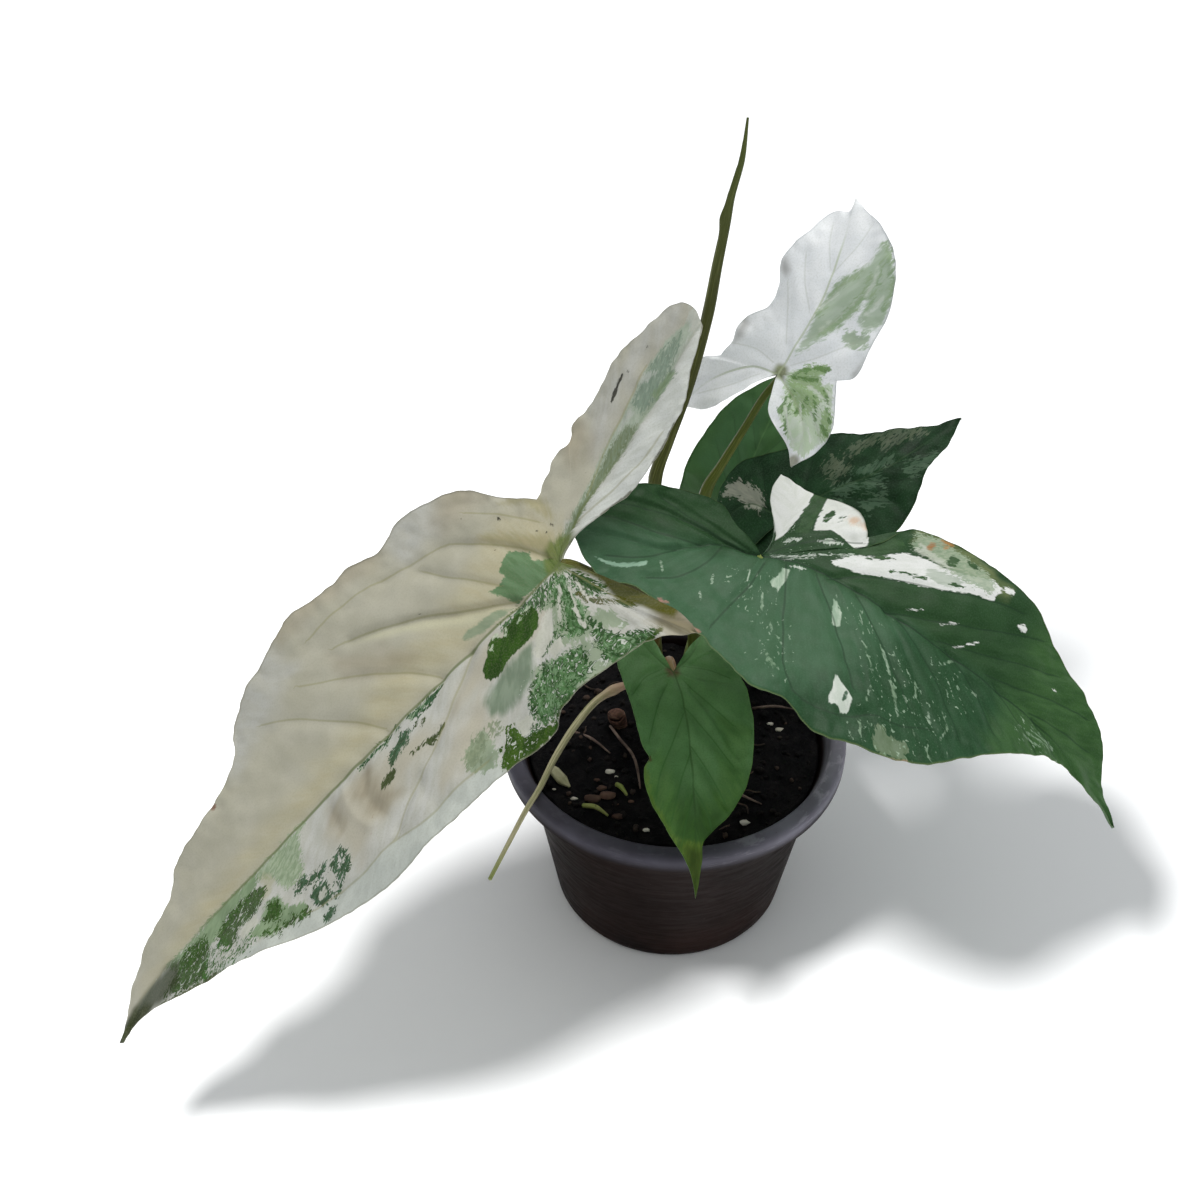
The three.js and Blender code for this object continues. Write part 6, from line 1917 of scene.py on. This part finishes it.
soil_piece()
make_piece("soil_crumbs", *scatter(380, 0.5, 1.5, 0.3),
           soil_material("soil_crumbs", "#0f0f10", "#1f1b1a", "#37302a"), "soil")
BITS = {
    "bark_chips": (scatter(44, 0.7, 1.6, 0.35), "#241c18", "#3b2d26", 0.85),
    "perlite": (strewn(PERLITE, 0.9), "#cfcac0", "#b5afa3", 0.85),
    "bark_lumps": (strewn(BARK_LUMPS, 1.5), "#44322a", "#5f483d", 0.85),
    "roots": (twig_parts(ROOTS, 0.55), "#4c3d36", "#73625a", 0.7),
    "green_shoots": (twig_parts(SHOOTS, 0.9), "#7c8a44", "#92975a", 0.6),
    "fallen_leaf": (fallen_leaf_parts(), "#a5a283", "#8b8a68", 0.7),
    "dead_twigs": (twig_parts(random_twigs(16, 9), 0.32), "#2b231d", "#463930", 0.8),
}
for name, (parts, first, second, rough) in BITS.items():
    make_piece(name, *parts, bits_material(name, first, second, rough), "soil")


# ---------------------------------------------------------------- camera and lights

CAMERA_PLACE = (0, -387.3, 470)
CAMERA_TILT = 49.5
CAMERA_TURN = 4
FLOOR_REACH = 4000
HORIZON_GLOW = 0.25
OVERHEAD_GLOW = 0.78


def add_camera():
    camera = new_object("camera", bpy.data.cameras.new("camera"))
    camera.data.lens = 45
    camera.data.sensor_width = 36
    camera.data.clip_start = 0.01
    camera.location = [v * MM for v in CAMERA_PLACE]
    camera.rotation_euler = (math.radians(CAMERA_TILT), 0, math.radians(CAMERA_TURN))
    bpy.context.scene.camera = camera


def add_light(name, kind, lit):
    """A light object that lights only the objects in lit."""
    lamp = new_object(name, bpy.data.lights.new(name, kind))
    group = bpy.data.collections.new(name + "_lights")
    for thing in lit:
        group.objects.link(thing)
    lamp.light_linking.receiver_collection = group
    return lamp


def add_sun(name, direction, softness, strength, tint, lit):
    """A far soft light from that direction; softness is its width in degrees."""
    lamp = add_light(name, "SUN", lit)
    lamp.data.angle = math.radians(softness)
    lamp.data.energy = strength
    lamp.data.color = tint
    towards = Vector(direction).normalized()
    lamp.location = towards
    lamp.rotation_euler = towards.to_track_quat("Z", "Y").to_euler()


def add_lamp(name, place, radius, strength, lit):
    """A round soft lamp that doesn't weaken with distance."""
    lamp = add_light(name, "POINT", lit)
    lamp.location = [v * MM for v in place]
    lamp.data.shadow_soft_size = radius * MM
    lamp.data.energy = strength * 4 * math.pi
    lamp.data.use_nodes = True
    tree = lamp.data.node_tree
    even = tree.nodes.new("ShaderNodeLightFalloff")
    even.inputs["Strength"].default_value = 1.0
    tree.links.new(even.outputs["Constant"], tree.nodes["Emission"].inputs["Strength"])


def add_floor():
    reach = FLOOR_REACH
    points = [(-reach, -reach, 0), (reach, -reach, 0), (reach, reach, 0), (-reach, reach, 0)]
    s = Shader("floor_paint", roughness=0.9, specular=0.1)
    tint = s.noise(s.place(), 3.0, 2.0, 0.5)
    material = s.finish(s.mix(tint, "#f6f6f6", "#f8f8f8"))
    floor = new_object("floor", new_mesh("floor", points, [[0, 1, 2, 3]]))
    floor.data.materials.append(material)
    return floor


def add_world():
    """A pale studio that is brighter overhead than at the horizon."""
    world = bpy.data.worlds.new("studio")
    world.use_nodes = True
    tree = world.node_tree
    sky = tree.nodes["Background"]
    sky.inputs["Color"].default_value = (0.95, 0.98, 1.0, 1)
    height = tree.nodes.new("ShaderNodeSeparateXYZ")
    tree.links.new(tree.nodes.new("ShaderNodeTexCoord").outputs["Generated"], height.inputs[0])
    fade = tree.nodes.new("ShaderNodeMapRange")
    tree.links.new(height.outputs[2], fade.inputs[0])
    for number, value in enumerate((0.0, 1.0, HORIZON_GLOW, OVERHEAD_GLOW), start=1):
        fade.inputs[number].default_value = value
    tree.links.new(fade.outputs[0], sky.inputs["Strength"])
    bpy.context.scene.world = world


add_camera()
plant_pieces = [o for o in bpy.data.objects if o.type == "MESH" and not o.hide_render]
add_world()
add_lamp("floor_light", (-232, -170, 800), radius=75, strength=3.6, lit=[add_floor()])
add_sun("plant_light", (0.33, 0.33, 0.9), softness=35, strength=1.8, tint=(1.0, 0.98, 0.95),
        lit=plant_pieces)
bpy.context.scene.view_settings.view_transform = "Standard"
